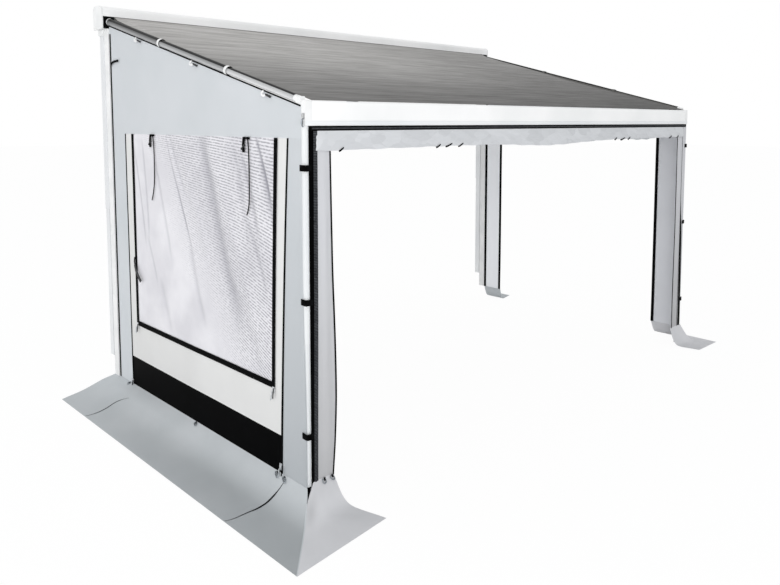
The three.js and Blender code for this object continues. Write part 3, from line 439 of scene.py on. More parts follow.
def makeWebbing():
    # Polypropylene webbing: black, with a ribbed weave of 2 mm
    material, tree, shader, place = startMaterial("ribbedWebbing", "#0A0A0B", 0.7, gloss=0.02)
    ribs = addNode(tree, "TexWave", {"Vector": place["UV"], "Scale": waveUnit / 0.002},
                   bands_direction="X").outputs["Fac"]
    tone = patches(tree, place, "#040404", "#0E0F10", 30.0)
    return dress(material, shader, tone, ribs, 0.5, 0.0006)


def makeZinc():
    # Zinc-plated steel: blue-grey crystals about 6 mm across
    material, tree, shader, place = startMaterial("zincPlatedSteel", "#8E9499", 0.42, 1.0)
    crystals = addNode(tree, "TexVoronoi", {"Vector": place["Object"], "Scale": 160.0})
    tone = addNode(tree, "Mix", {"Factor": crystals, "A": "#868C91", "B": "#9CA2A7"}, data_type="RGBA")
    feed(tree, shader, {"Base Color": tone})
    return material


finishes = {key: makePlainFinish(**settings) for key, settings in plainFinishes.items()}
finishes.update({
    "canopy": makeCanopyWeave(),
    # Walls and roll: pale blue-grey, and a little daylight comes through
    "greyCloth": makeCoatedCloth("greyCoatedPolyester", "#DDE1E4", "#E4E7EA", glow=0.3),
    # The left wall's front strip: the same cloth, greyer towards the hem
    "sideStripCloth": makeCoatedCloth("greyCoatedPolyesterStrip", "#DDE1E4", "#E4E7EA", glow=0.3,
                                      hemTone="#C1C5C8"),
    # The right wall's rear and front strips: paler copies of the grey cloth, painted light, and more
    # daylight comes through them
    "rearDoorCloth": makeCoatedCloth("greyClothPaintedLightRear", "#EFF0F2", "#F6F7F9", glow=0.55),
    "doorCloth": makeCoatedCloth("greyClothPaintedLightFront", "#E1E2E5", "#E8E9EC", glow=0.42),
    # Panel around the window: off-white, a little warmer than the walls
    "whiteCloth": makeCoatedCloth("whiteCoatedPolyester", "#D6D6D5", "#DDDDDC", 0.5),
    # PVC-coated kick panel, bindings and flaps: dull black
    "blackCloth": makeCoatedCloth("blackPvcCloth", "#020202", "#040405", 0.45, gloss=0.012),
    # Skirts: blue-grey, and a warmer grey at the two front corners; painted shade greys both
    "skirtCloth": makeCoatedCloth("blueGreySkirtCloth", "#B9BEC1", "#C4C8CB", 0.55, 0.15,
                                  paintedShadeTone="#888C8E"),
    # The front corners' cloth is a paler copy of the same skirt cloth: painted light on those faces
    "skirtFront": makeCoatedCloth("warmGreySkirtClothPaintedLight", "#CBCCCF", "#D6D6D9", 0.55, 0.15,
                                  paintedShadeTone="#98999B"),
    "stripCloth": makeStripCloth(),
    "bunched": makeCrumpledCloth(),
    # Rafter sections, paler from the rear to the front, and the white sleeves over their joints
    "rafterRear": makePaintedTube("darkSatinTube", "#9D9E9F", "#444445", 0.0247),
    "rafterMiddle": makePaintedTube("midSatinTube", "#B8B9BA", "#7B7C7D", 0.0229),
    "rafterFront": makePaintedTube("paleSatinTube", "#DADBDC", "#A2A3A4", 0.0209, 0.62),
    "sleeve": makePaintedTube("whiteRafterSleeve", "#E9EAEA", "#E0E1E1", 0.0300, 1.2),
    "film": makeWindowNet(),
    "zip": makeZipTape(),
    "teeth": makeTeeth(),
    "webbing": makeWebbing(),
    "zinc": makeZinc(),
})

cadFinish = {
    "powder": ["cassette_housing", "lead_rail"],
    "powderPaintedShade": ["leg_outer", "leg_inner"],
    "rafterRear": ["rafter_rear"],
    "rafterMiddle": ["rafter_middle"],
    "rafterFront": ["rafter_front"],
    "moulded": ["cassette_cap", "rail_cap", "rear_pole_head", "rear_pad"],
    "anodised": ["arm_bracket", "wrist_bracket", "upper_arm", "forearm"],
    "pole": ["rear_pole_upper", "rear_pole_lower"],
    "zinc": ["wall_bracket", "worm_wheel", "winch_worm"],
    "nylon": ["foot", "leg_knob"],
}
for finishName, stems in cadFinish.items():
    for nodeName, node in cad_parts.items():
        if any(nodeName == stem or nodeName.startswith(stem + "_") for stem in stems):
            node.data.materials.clear()
            node.data.materials.append(finishes[finishName])
print("finishes are made")


# Tools for cloth and trim


def finishPiece(bm, name, finish, body="awning", thickness=0.0):
    # Cloth gets its thickness here, and edges sharper than 40 degrees stay crisp
    bmesh.ops.recalc_face_normals(bm, faces=bm.faces)
    if thickness:
        bmesh.ops.solidify(bm, geom=bm.verts[:] + bm.edges[:] + bm.faces[:], thickness=thickness)
        bmesh.ops.recalc_face_normals(bm, faces=bm.faces)
    mesh = bpy.data.meshes.new(name)
    bm.to_mesh(mesh)
    bm.free()
    mesh.materials.append(finishes[finish])
    for polygon in mesh.polygons:
        polygon.use_smooth = True
    mesh.set_sharp_from_angle(angle=math.radians(40))
    piece = bpy.data.objects.new(name, mesh)
    bpy.context.scene.collection.objects.link(piece)
    if body:
        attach(piece, body)
    return piece


def clothGrid(columns, rows, place, scale=(1, 1), shade=None):
    # A grid whose points are put where place(across, along) says, with UVs in metres
    bm = bmesh.new()
    uvLayer = bm.loops.layers.uv.new("UVMap")
    shadeLayer = bm.verts.layers.float.new("shade") if shade else None
    bmesh.ops.create_grid(bm, x_segments=columns, y_segments=rows, size=0.5, calc_uvs=True)
    for face in bm.faces:
        for loop in face.loops:
            share = loop.vert.co.x + 0.5, loop.vert.co.y + 0.5
            loop[uvLayer].uv = (share[0] * scale[0], share[1] * scale[1])
    for vert in bm.verts:
        across, along = vert.co.x + 0.5, vert.co.y + 0.5
        if shade:
            vert[shadeLayer] = shade(across, along)
        vert.co = Vector(place(across, along))
    return bm


def sweptTube(points, radius):
    # A round bar along a line of points, with closed ends
    curve = bpy.data.curves.new("path", "CURVE")
    curve.dimensions = "3D"
    spline = curve.splines.new("POLY")
    spline.points.add(len(points) - 1)
    for point, place in zip(spline.points, points):
        point.co = (*place, 1)
    curve.bevel_depth = radius
    curve.bevel_resolution = 1
    curve.use_fill_caps = True
    holder = bpy.data.objects.new("path", curve)
    bm = bmesh.new()
    bm.from_mesh(holder.to_mesh())
    holder.to_mesh_clear()
    bpy.data.objects.remove(holder)
    bpy.data.curves.remove(curve)
    bmesh.ops.remove_doubles(bm, verts=bm.verts, dist=radius * 0.02)
    return bm


def rounded(points, rounds=2):
    # Corner cutting: every pass rounds the path's corners, and its ends stay
    path = [Vector(point) for point in points]
    for _ in range(rounds):
        cut = [path[0]]
        for a, b in zip(path, path[1:]):
            cut += [a.lerp(b, 0.25), a.lerp(b, 0.75)]
        path = cut + [path[-1]]
    return path


def alongPath(path, share):
    spans = [(b - a).length for a, b in zip(path, path[1:])]
    rest = share * sum(spans)
    for (a, b), span in zip(zip(path, path[1:]), spans):
        if rest <= span:
            return a.lerp(b, rest / span)
        rest -= span
    return path[-1].copy()


def makeTape(name, points, side, width, thickness, finish="webbing", body="awning", rows=24, ends=1.0):
    # A flat tape along a path; side points across it, ends narrows it to that share at its far end
    path = rounded(points)
    side = Vector(side).normalized()

    def place(across, along):
        return alongPath(path, along) + side * ((across - 0.5) * width * mix(1, ends, along))

    length = sum((b - a).length for a, b in zip(path, path[1:]))
    finishPiece(clothGrid(3, rows, place, (width, length)), name, finish, body, thickness)


def makeRod(name, points, radius, finish="webbing", body="awning"):
    finishPiece(sweptTube(rounded(points), radius), name, finish, body)


def mirrored(sign, points):
    # Points given as (distance from the middle, y, height)
    return [Vector((sign * x, y, up(height))) for x, y, height in points]


def makeRing(name, middle, axis, radius, bar, length, finish, body):
    # A sleeve: a small section spun around an axis
    bm = bmesh.new()
    bmesh.ops.create_circle(bm, segments=10, radius=0.5)
    for vert in bm.verts:
        vert.co = Vector((radius + vert.co.x * bar, 0, vert.co.y * length))
    bmesh.ops.spin(bm, geom=bm.verts[:] + bm.edges[:], cent=(0, 0, 0), axis=(0, 0, 1),
                   angle=math.tau, steps=36, use_merge=False)
    bmesh.ops.remove_doubles(bm, verts=bm.verts, dist=1e-5)
    turn = Vector((0, 0, 1)).rotation_difference(axis).to_matrix().to_4x4()
    bmesh.ops.transform(bm, matrix=Matrix.Translation(middle) @ turn, verts=bm.verts)
    finishPiece(bm, name, finish, body)


def softWave(a, b, seed=0.0):
    # Slow uneven swell between -1 and 1
    return (math.sin(a * 1.7 + seed) * math.cos(b * 1.3 + seed * 1.7)
            + 0.5 * math.sin(a * 3.9 + b * 2.3 + seed * 2.1)
            + 0.25 * math.sin(a * 8.3 - b * 5.1 + seed)) / 1.75


# Canopy

canopySettings = {
    "half": 2.1, "frontInset": 0.010, "frontUp": 0.00095, "rollerY": -0.085, "fabricTop": 2.8033,
    "rearAhead": 0.009, "rearUp": 0.00125, "sag": 0.020, "ripple": 0.0022, "columns": 120, "rows": 90,
    "thickness": 0.0011, "edgeDrop": 0.013, "edgeX": (2.0, 0.09), "edgeRear": (-0.16, 0.06),
    "edgeFront": (-1.0, 0.7),
}


def canopyHeight(x, y):
    c = canopySettings
    startY, startZ = site["front"] + c["frontInset"], site["railTop"] + c["frontUp"]
    rise = (c["fabricTop"] - startZ) / (c["rollerY"] - startY)
    share = (y - startY) / (c["rollerY"] - c["rearAhead"] - startY)
    sag = c["sag"] * math.sin(math.pi * share) ** 2
    height = startZ + rise * (y - startY) + share * c["rearUp"] - sag
    # Near the cassette both long edges lie down against the rafters: each bound is a place and how
    # far the drop takes to grow from it
    inward, rear, front = c["edgeX"], c["edgeRear"], c["edgeFront"]
    edge = ease((abs(x) - inward[0]) / inward[1]) * ease((rear[0] - y) / rear[1])
    height -= c["edgeDrop"] * edge * ease((y - front[0]) / front[1])
    # The cloth is held along both long edges and hangs a touch lower and wavier in between
    ripple = softWave(x * 2.1, y * 1.4, 2.0) * math.sin(math.pi * min(max(share, 0), 1)) ** 2
    return height + c["ripple"] * (ripple + 0.6)


def makeCanopy():
    c = canopySettings
    front, rear = site["front"] + c["frontInset"], c["rollerY"] - c["rearAhead"]

    def place(across, along):
        x, y = mix(-c["half"], c["half"], across), mix(front, rear, along)
        return x, y, up(canopyHeight(x, y) + c["thickness"])

    piece = finishPiece(clothGrid(c["columns"], c["rows"], place), "canopyCloth", "canopy", None,
                        c["thickness"])
    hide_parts("canopy")
    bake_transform(piece)


makeCanopy()
print("canopy is stretched")


# Side walls

wallSettings = {
    "creep": 0.016, "thickness": 0.0009, "swell": 0.004, "filmSwell": 0.006, "doorFront": -2.215,
    "seamLean": 0.095, "zipLean": 0.065, "zipAhead": 0.027, "zipFade": 0.35, "underRafter": 0.0252,
    "stripDrop": 1.8115,
}


def wallTop(y):
    # The walls end just below the rafters
    return rafterHeight(y) - wallSettings["underRafter"] / math.cos(site["pitch"])


def wallOut(y, z, sign):
    # How far the hung cloth stands out of its plane; nothing at its zipped edges
    rear = ease((site["rearEdge"] - y) / 0.25)
    front = ease((y - site["wallFront"]) / 0.25)
    low = ease((z - site["hem"]) / 0.3)
    high = ease((wallTop(y) - z) / 0.25)
    hold = min(rear, front) * min(low, high)
    return wallSettings["swell"] * hold * (0.55 + 0.45 * softWave(y * 2.4, z * 1.1, 1.0 + sign))


def seamLean(y, z):
    # The left wall's front seam and its window's front zip lean back towards the ground
    s, w = site, wallSettings
    depth = min(max((s["windowTop"] - z) / (s["windowTop"] - s["hem"]), 0), 1)
    lean = depth * (1.35 - 0.35 * depth)
    atSeam = w["seamLean"] * lean
    atZip = (w["zipLean"] * lean - w["zipAhead"]) * ease((2.05 - z) / 0.09)
    if y < s["frontZip"]:
        return atSeam * max(0.0, y - s["wallFront"]) / (s["frontZip"] - s["wallFront"])
    if y < s["windowFront"]:
        return mix(atSeam, atZip, (y - s["frontZip"]) / (s["windowFront"] - s["frontZip"]))
    return atZip * ease(1 - (y - s["windowFront"]) / w["zipFade"])


def wallPoint(sign, y, z, lift=0.0):
    x = site["wallInner"] + 0.0005 + wallOut(y, z, sign) + lift
    return sign * x, y + (seamLean(y, z) if sign < 0 else 0.0), up(z)


def makeWallPanel(name, sign, node, yRange, zRange, finish, columns, rows, flat, extra=None,
                  shade=None):
    def place(across, along):
        y = mix(*yRange, across)
        high = zRange[1](y) if callable(zRange[1]) else zRange[1]
        z = mix(zRange[0], high, along)
        if yRange[0] == site["wallFront"]:
            # The front edge creeps over the leg's side towards the ground
            y -= wallSettings["creep"] * (1 - across) * ease((1.3 - z) / 1.0)
        return wallPoint(sign, y, z, extra(y, z) if extra else 0.0)

    bm = clothGrid(columns, rows, place, flat, shade)
    piece = finishPiece(bm, name, finish, thickness=wallSettings["thickness"])
    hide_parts(node)


# Creases of the window film: both ends as (y, height), half width, depth and painted shade (below zero
# it takes painted shade away)
creases = [
    ((-1.44, 1.96), (-1.90, 0.85), 0.050, 0.011, 0.50),
    ((-1.03, 1.96), (-1.32, 1.24), 0.009, 0.005, 0.75),
    ((-1.00, 1.96), (-1.20, 1.60), 0.030, -0.005, -0.30),
    ((-1.30, 1.28), (-1.49, 0.78), 0.026, 0.004, 0.28),
    ((-1.26, 1.80), (-1.56, 1.20), 0.045, -0.006, -0.20),
    ((-0.55, 1.82), (-0.70, 1.18), 0.010, 0.003, 0.45),
    ((-0.68, 1.90), (-0.74, 1.22), 0.012, 0.003, 0.40),
    ((-0.73, 1.24), (-0.85, 0.94), 0.012, 0.003, 0.30),
    ((-0.87, 1.78), (-1.05, 1.12), 0.016, 0.004, 0.30),
    ((-1.08, 1.94), (-1.27, 1.55), 0.016, 0.003, 0.30),
    ((-2.058, 1.96), (-2.185, 1.58), 0.010, 0.004, 0.85),
    ((-2.10, 1.82), (-2.22, 1.45), 0.022, 0.004, 0.40),
    ((-1.92, 1.86), (-2.07, 1.38), 0.020, 0.005, 0.42),
    ((-1.98, 1.48), (-2.15, 1.10), 0.018, 0.004, 0.35),
    ((-1.84, 1.90), (-1.98, 1.30), 0.030, 0.004, 0.22),
    ((-1.60, 1.80), (-2.05, 0.95), 0.035, -0.006, -0.22),
    ((-0.91, 0.98), (-1.03, 0.64), 0.030, 0.004, 0.22),
    ((-1.80, 1.10), (-2.10, 0.66), 0.045, 0.005, 0.16),
]


def creaseSum(y, z, shading=False):
    # How deep the creases are at a place, or how much painted shade they give
    total = 0.0
    for (ay, az), (by, bz), width, depth, dark in creases:
        dy, dz = by - ay, bz - az
        length = math.hypot(dy, dz)
        along = ((y - ay) * dy + (z - az) * dz) / length ** 2
        if not -0.1 < along < 1.1:
            continue
        bow = 0.02 * math.sin(along * 3.0 + ay * 5)
        across = ((y - ay) * dz - (z - az) * dy) / length + bow * length
        taper = ease((along + 0.1) / 0.25) * ease((1.1 - along) / 0.35)
        total += (dark if shading else depth) * taper * math.exp(-(across / width) ** 2)
    return total


def filmFold(y, z):
    # How far the film stands out: nothing at its edges
    hold = ease((y - site["windowFront"]) / 0.05) * ease((site["windowRear"] - y) / 0.05)
    hold *= ease((z - site["windowFoot"]) / 0.06) * ease((site["windowTop"] - z) / 0.03)
    swell = 0.4 + 0.3 * softWave(y * 3.0, z * 1.5, 5.0)
    return hold * (wallSettings["filmSwell"] * swell - creaseSum(y, z))


def makeSideWalls():
    s = site
    whole, panel = (s["wallFront"], s["rearEdge"]), (s["frontZip"], s["rearZip"])
    window, glazed = (s["windowFront"], s["windowRear"]), (s["windowFoot"], s["windowTop"])
    drop = wallSettings["stripDrop"]
    gableTop = [wallTop(y) - s["windowTop"] for y in whole]
    gableWidth = whole[1] - whole[0]
    # Finishes of the rear and the front strip, then the front strip's rear edge, flat size and area
    strips = {
        "left": ("greyCloth", "sideStripCloth", s["frontZip"], (0.209, drop), 0.311),
        "right": ("rearDoorCloth", "doorCloth", wallSettings["doorFront"], (0.255, drop), None),
    }
    for side, (rearFinish, frontFinish, frontEdge, flat, area) in strips.items():
        sign, below = -1 if side == "left" else 1, (s["hem"], s["windowTop"])
        makeWallPanel(f"gableCloth{side.title()}", sign, f"gable_{side}", whole,
                      (s["windowTop"], wallTop), "greyCloth", 90, 30, (gableWidth, max(gableTop)))
        makeWallPanel(f"rearStripCloth{side.title()}", sign, f"rear_strip_{side}",
                      (s["rearZip"], s["rearEdge"]), below, rearFinish, 14, 80,
                      (s["rearEdge"] - s["rearZip"], drop))
        makeWallPanel(f"frontStripCloth{side.title()}", sign, f"side_front_strip_{side}",
                      (s["wallFront"], frontEdge), below, frontFinish, 12, 80, flat)

    # Painted shade of the film's creases, stored on its points
    def filmShade(across, along):
        dark = creaseSum(mix(*window, across), mix(*glazed, along), shading=True)
        return min(max(dark, 0.0), 1.0)

    makeWallPanel("windowFilm", -1, "window_film", window, glazed, "film", 220, 170, (1.751, 1.349),
                  extra=filmFold, shade=filmShade)
    makeWallPanel("kickPanel", -1, "kick_panel", panel, (s["hem"], s["kickTop"]), "blackCloth", 60, 8,
                  (1.855, 0.2125))
    # White panel around the window, sewn of a foot and two uprights
    makeWallPanel("surroundFoot", -1, "window_surround", panel, (s["kickTop"], s["windowFoot"]),
                  "whiteCloth", 90, 12, (1.865, s["windowFoot"] - s["kickTop"]))
    for name, yRange, width, area in (("surroundFront", (panel[0], window[0]), 0.093, 0.106),
                                      ("surroundRear", (window[1], panel[1]), 0.098, None)):
        makeWallPanel(name, -1, "window_surround", yRange, glazed, "whiteCloth", 8, 70,
                      (width, glazed[1] - glazed[0]))


makeSideWalls()
print("side walls hang")


# Zips, keder and seams on the walls

def wallStrip(name, sign, path, width, lift=0.0012, crown=0.0018, thickness=0.0008):
    # A zip's tape along a path of (y, height) points on a side wall, raised along its middle
    corners = [Vector(spot) for spot in path]
    total = sum((b - a).length for a, b in zip(corners, corners[1:]))
    rows = max(2, int(total / 0.03))

    def place(across, along):
        y, z = alongPath(corners, along)
        ahead = alongPath(corners, min(along + 0.01, 1)) - alongPath(corners, max(along - 0.01, 0))
        ahead.normalize()
        offset = (across - 0.5) * width
        rise = crown * max(0.0, 1 - abs(across - 0.5) * 6)
        return wallPoint(sign, y - ahead.y * offset, z + ahead.x * offset, lift + rise)

    finishPiece(clothGrid(6, rows, place, (width, total)), name, "zip", thickness=thickness)


trimSettings = {"zipWidth": 0.034, "zipLift": 0.0045, "seamWidth": 0.015, "edgeWidth": 0.020,
                "edgeTop": 2.66, "edgeIn": 0.012, "doorZip": 0.028, "doorSink": 0.0012, "doorIn": 0.013,
                "bindingTop": 2.60}


def makeWallTrim():
    s, t = site, trimSettings
    top, hem = s["windowTop"], s["hem"]
    rearLine, frontLine = s["windowRear"] - 0.018, s["windowFront"] + 0.004
    footLine = s["windowFoot"] + 0.014
    for name, path in (("Rear", [(rearLine, top), (rearLine, footLine - 0.017)]),
                       ("Foot", [(rearLine, footLine), (frontLine, footLine)]),
                       ("Front", [(frontLine, footLine - 0.017), (frontLine, top)])):
        wallStrip(f"windowZip{name}", -1, path, t["zipWidth"], lift=t["zipLift"])
    wallStrip("panelSeamRear", -1, [(s["rearZip"], top), (s["rearZip"], hem)], t["seamWidth"])
    wallStrip("panelSeamFront", -1, [(s["frontZip"], hem), (s["frontZip"], top)], t["seamWidth"])
    edge = s["rearEdge"] - t["edgeIn"]
    for side, sign in sides:
        wallStrip(f"wallRearEdge{side}", sign, [(edge, t["edgeTop"]), (edge, hem)], t["edgeWidth"])
    # The right doorway's zips are seen from both sides, so they wrap around the cloth's edges
    doorFront, doorRear = wallSettings["doorFront"] - t["doorIn"], s["rearZip"] + t["doorIn"]
    edge = s["rearEdge"] - t["doorIn"]
    for name, path in (("doorZipRear", [(doorRear, top), (doorRear, hem)]),
                       ("doorZipFront", [(doorFront, hem), (doorFront, top)]),
                       ("doorZipTop", [(doorFront, top + 0.012), (doorRear, top + 0.012)]),
                       ("rearEdgeBinding", [(edge, t["bindingTop"]), (edge, hem)])):
        wallStrip(name, 1, path, t["doorZip"], lift=-t["doorSink"], crown=0.0006, thickness=0.0034)


def makeKeder():
    # Black keder cord in the rafters' lower groove, over the walls' top edge
    for side, sign in sides:
        points = []
        for step in range(25):
            y = mix(site["rearEdge"], site["wallFront"] + 0.004, step / 24)
            points.append((sign * (site["wallInner"] + 0.001), y, up(wallTop(y) + 0.0005)))
        finishPiece(sweptTube(points, 0.0045), f"kederCord{side}", "webbing")


makeWallTrim()
makeKeder()
print("zips and keder are on")


# Front fabric

stripSettings = {
    "outer": 2.130, "top": 1.9867, "plane": -2.4990, "columns": 44, "rows": 110, "fold": 0.009,
    "thickness": 0.0009, "bindingTop": 1.888, "bindingWidth": {-1: 0.009, 1: 0.013},
    "innerLeft": [1.983, 1.968, 1.962, 1.967, 1.975, 1.982, 1.985, 1.988, 1.990],
    "innerRight": [1.968, 1.958, 1.954, 1.955, 1.955, 1.953, 1.955, 1.958, 1.962],
}


def curveAt(values, share):
    # A smooth curve through evenly spaced values
    spot = min(max(share, 0), 1) * (len(values) - 1)
    low = min(int(spot), len(values) - 2)
    rest = spot - low
    before, after = values[max(low - 1, 0)], values[min(low + 2, len(values) - 1)]
    a, b = values[low], values[low + 1]
    return 0.5 * (2 * a + (b - before) * rest + (2 * before - 5 * a + 4 * b - after) * rest ** 2
                  + (3 * a - before - 3 * b + after) * rest ** 3)


def stripInner(sign, along):
    return curveAt(stripSettings["innerLeft" if sign < 0 else "innerRight"], along)


def stripPlace(sign):
    c = stripSettings

    def place(across, along):
        # across 0 at the leg, 1 at the doorway; along 0 at the hem, 1 at the top
        z = mix(site["hem"], c["top"], along)
        billow = math.sin(math.pi * along) ** 0.8
        x = mix(c["outer"], stripInner(sign, along), across)
        free = ease((across - 0.25) / 0.5)
        folds = math.sin(across * 13.0 + 0.8 * math.sin(along * 4.0) + sign) * 0.5 + 0.5
        loose = softWave(across * 3.0, along * 5.0, 3.0 + sign)
        y = c["plane"] - c["fold"] * billow * free * (0.55 * folds + 0.35 + 0.2 * loose)
        return sign * x, y, up(z)

    return place


def stripShare(sign, along, x):
    # Where a line at |X| x crosses the strip, from 0 at the leg to 1 at the doorway
    outer = stripSettings["outer"]
    return (outer - x) / (outer - stripInner(sign, along))


def makeStripTrim(name, sign, outer, inner, heights, lift, finish, uvWidth=0.03):
    # A band down the strip between two lines of |X|, each one a list from its foot to its top
    c = stripSettings
    place = stripPlace(sign)
    span = c["top"] - site["hem"]
    low, high = [(height - site["hem"]) / span for height in heights]
    rows = max(4, int((heights[1] - heights[0]) / 0.017))

    def put(across, along):
        height = mix(low, high, along)
        x = mix(curveAt(outer, along), curveAt(inner, along), across)
        x, y, z = place(stripShare(sign, height, x), height)
        return x, y - lift - 0.0012 * max(0.0, 1 - abs(across - 0.5) * 5), z

    bm = clothGrid(6, rows, put, (uvWidth, heights[1] - heights[0]))
    finishPiece(bm, name, finish, "front_rail", 0.0009)


def makeFrontStrips():
    c = stripSettings
    whole, bound = (site["hem"], c["top"]), (site["hem"], c["bindingTop"])
    boundShare = (bound[1] - whole[0]) / (whole[1] - whole[0])
    for side, sign in sides:
        bm = clothGrid(c["columns"], c["rows"], stripPlace(sign), (0.15, 1.85))
        piece = finishPiece(bm, f"frontStripCloth{side}Leg", "stripCloth", "front_rail", c["thickness"])
        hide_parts(f"front_strip_{side.lower()}")
        edge = [stripInner(sign, boundShare * step / 8) for step in range(9)]
        makeStripTrim(f"stripBinding{side}", sign, [x + c["bindingWidth"][sign] for x in edge],
                      [x - 0.0006 for x in edge], bound, 0.0012, "blackCloth")
    outer = [2.1305, 2.1305]
    # Left: flap, coil and teeth side by side, leaning inwards towards the top
    makeStripTrim("zipFlapLeft", -1, outer, [2.117, 2.107, 2.104], whole, 0.0022, "blackCloth")
    makeStripTrim("zipTapeLeft", -1, [2.118, 2.108, 2.105], [2.088, 2.078, 2.0745], whole, 0.0013, "zip")
    makeStripTrim("zipTeethLeft", -1, [2.112, 2.104, 2.100], [2.088, 2.079, 2.0755], whole, 0.0030,
                  "teeth", 0.024)
    # Right: a grey flap covers the zip and lets a black wedge of it out below 1.3 m
    makeStripTrim("zipTapeRight", 1, outer, [2.092, 2.084, 2.078], (whole[0], 1.45), 0.0013, "zip")
    makeStripTrim("zipCoverRight", 1, outer,
                  [2.126, 2.124, 2.121, 2.114, 2.104, 2.076, 2.072, 2.071, 2.071], whole, 0.0045,
                  "stripCloth")
    makeStripTrim("zipCoverEdgeRight", 1, [2.078, 2.077, 2.076], [2.0745, 2.0735, 2.072], whole, 0.0022,
                  "blackCloth")


makeFrontStrips()


bandSettings = {"half": 2.130, "low": 1.987, "high": 2.0115, "front": -2.4992, "segments": 260,
                "coil": (1.9945, 2.0035), "crown": 0.0016}


def makeTopBand():
    # Zip along the rail: black tape and its coil
    c = bandSettings

    def place(across, along):
        x, z = mix(-c["half"], c["half"], across), mix(c["low"], c["high"], along)
        return x, c["front"] - c["crown"] * math.sin(math.pi * along) ** 0.5, up(z)

    bm = clothGrid(c["segments"], 8, place, (2 * c["half"], c["high"] - c["low"]))
    # Its teeth repeat along the band, so u and v trade places
    layer = bm.loops.layers.uv[0]
    for face in bm.faces:
        for loop in face.loops:
            u, v = loop[layer].uv
            loop[layer].uv = (v, u)
    piece = finishPiece(bm, "railZip", "zip", "front_rail", 0.001)
    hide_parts("top_zip_band")

    def coil(across, along):
        x = mix(-c["half"] + 0.02, c["half"] - 0.02, along)
        y = c["front"] - 0.0022 - c["crown"] * math.sin(math.pi * across)
        return x, y, up(mix(*c["coil"], across))

    finishPiece(clothGrid(5, 300, coil, (0.01, 2 * c["half"])), "railZipTeeth", "teeth", "front_rail",
                0.0008)


makeTopBand()


valanceSettings = {
    "half": 2.096, "top": 1.9868, "low": 1.8925, "dip": 0.022, "dipAt": -0.02, "dipWidth": 0.45,
    "plane": -2.4997, "hang": 0.008, "crumple": 0.0035, "columns": 420, "rows": 14,
    "thickness": 0.0009,
    "tabs": [-1.926, -1.185, -1.093, -0.985, 0.865, 0.975, 1.075, 1.805, 1.945],
    "tabWide": [0.030, 0.034, 0.055, 0.042, 0.026, 0.060, 0.030, 0.046, 0.030],
}


def valanceLow(x):
    # Height of the bunched cloth's lower edge: lowest left of the middle, a little higher to the right
    v = valanceSettings
    dip = v["dip"] * math.exp(-((x - v["dipAt"]) / v["dipWidth"]) ** 2)
    return v["low"] + 0.007 * x / 2 - dip + 0.0022 * math.sin(x * 31) * math.sin(x * 7.3 + 1)


def makeValance():
    v = valanceSettings

    def place(across, along):
        x = mix(-v["half"], v["half"], across)
        z = mix(valanceLow(x), v["top"], along)
        held = ease((1 - along) / 0.35) * ease((v["half"] - abs(x)) / 0.05 + 0.2)
        facet = softWave(x * 9, along * 4, 1.3) + 0.7 * abs(math.sin(x * 17 + along * 3.1))
        return x, v["plane"] - held * (v["hang"] * (1 - along) + v["crumple"] * facet), up(z)

    grid = clothGrid(v["columns"], v["rows"], place, (2 * v["half"], 0.1))
    piece = finishPiece(grid, "frontValance", "bunched", "front_rail", v["thickness"])
    for index, (x, wide) in enumerate(zip(v["tabs"], v["tabWide"])):
        low, front = valanceLow(x), v["plane"] - v["hang"] - 0.0055
        points = [(x - wide / 2, front + 0.006, low - 0.004), (x - wide / 4, front, low - 0.002),
                  (x + wide / 2, front, low + 0.014)]
        makeTape(f"rollTab{index + 1}", mirrored(1, points), (-0.35, 0.1, 1), 0.011, 0.0014,
                 body="front_rail", rows=10, ends=0.6)


rollSettings = {
    "half": 2.040, "front": -2.4650, "rear": -2.4062, "top": 2.0112, "drop": 0.131, "stations": 420,
    "around": 30, "tieWidth": 0.012,
    "ties": [-1.93, -1.19, -1.09, -0.98, -0.35, 0.25, 0.86, 0.97, 1.07, 1.80, 1.94],
}


def rollSection(x, turn):
    # The rolled front panel: a flattened roll, pinched at its ties and slack between them
    c = rollSettings
    pinch = min(abs(x - tie) for tie in c["ties"])
    slack = ease(pinch / 0.25)
    halfDepth = (c["rear"] - c["front"]) / 2
    sag = 0.008 * slack + 0.004 * softWave(x * 2.0, 0.3, 4.0)
    crease = 0.0028 * math.sin(x * 46 + 2.4 * math.sin(turn * 2 + x * 5)) * (0.4 + 0.6 * slack)
    crease += 0.0022 * math.sin(turn * 5 + x * 9)
    tight = 0.86 + 0.10 * slack
    low = max(0.0, -math.sin(turn))
    y = (c["front"] + c["rear"]) / 2 + (halfDepth * tight + crease * 0.6) * math.cos(turn)
    z = c["top"] - c["drop"] / 2 + (c["drop"] / 2 - 0.006) * math.sin(turn) * (tight + 0.04)
    z += (0.010 - sag) * low + crease * low
    return y, z


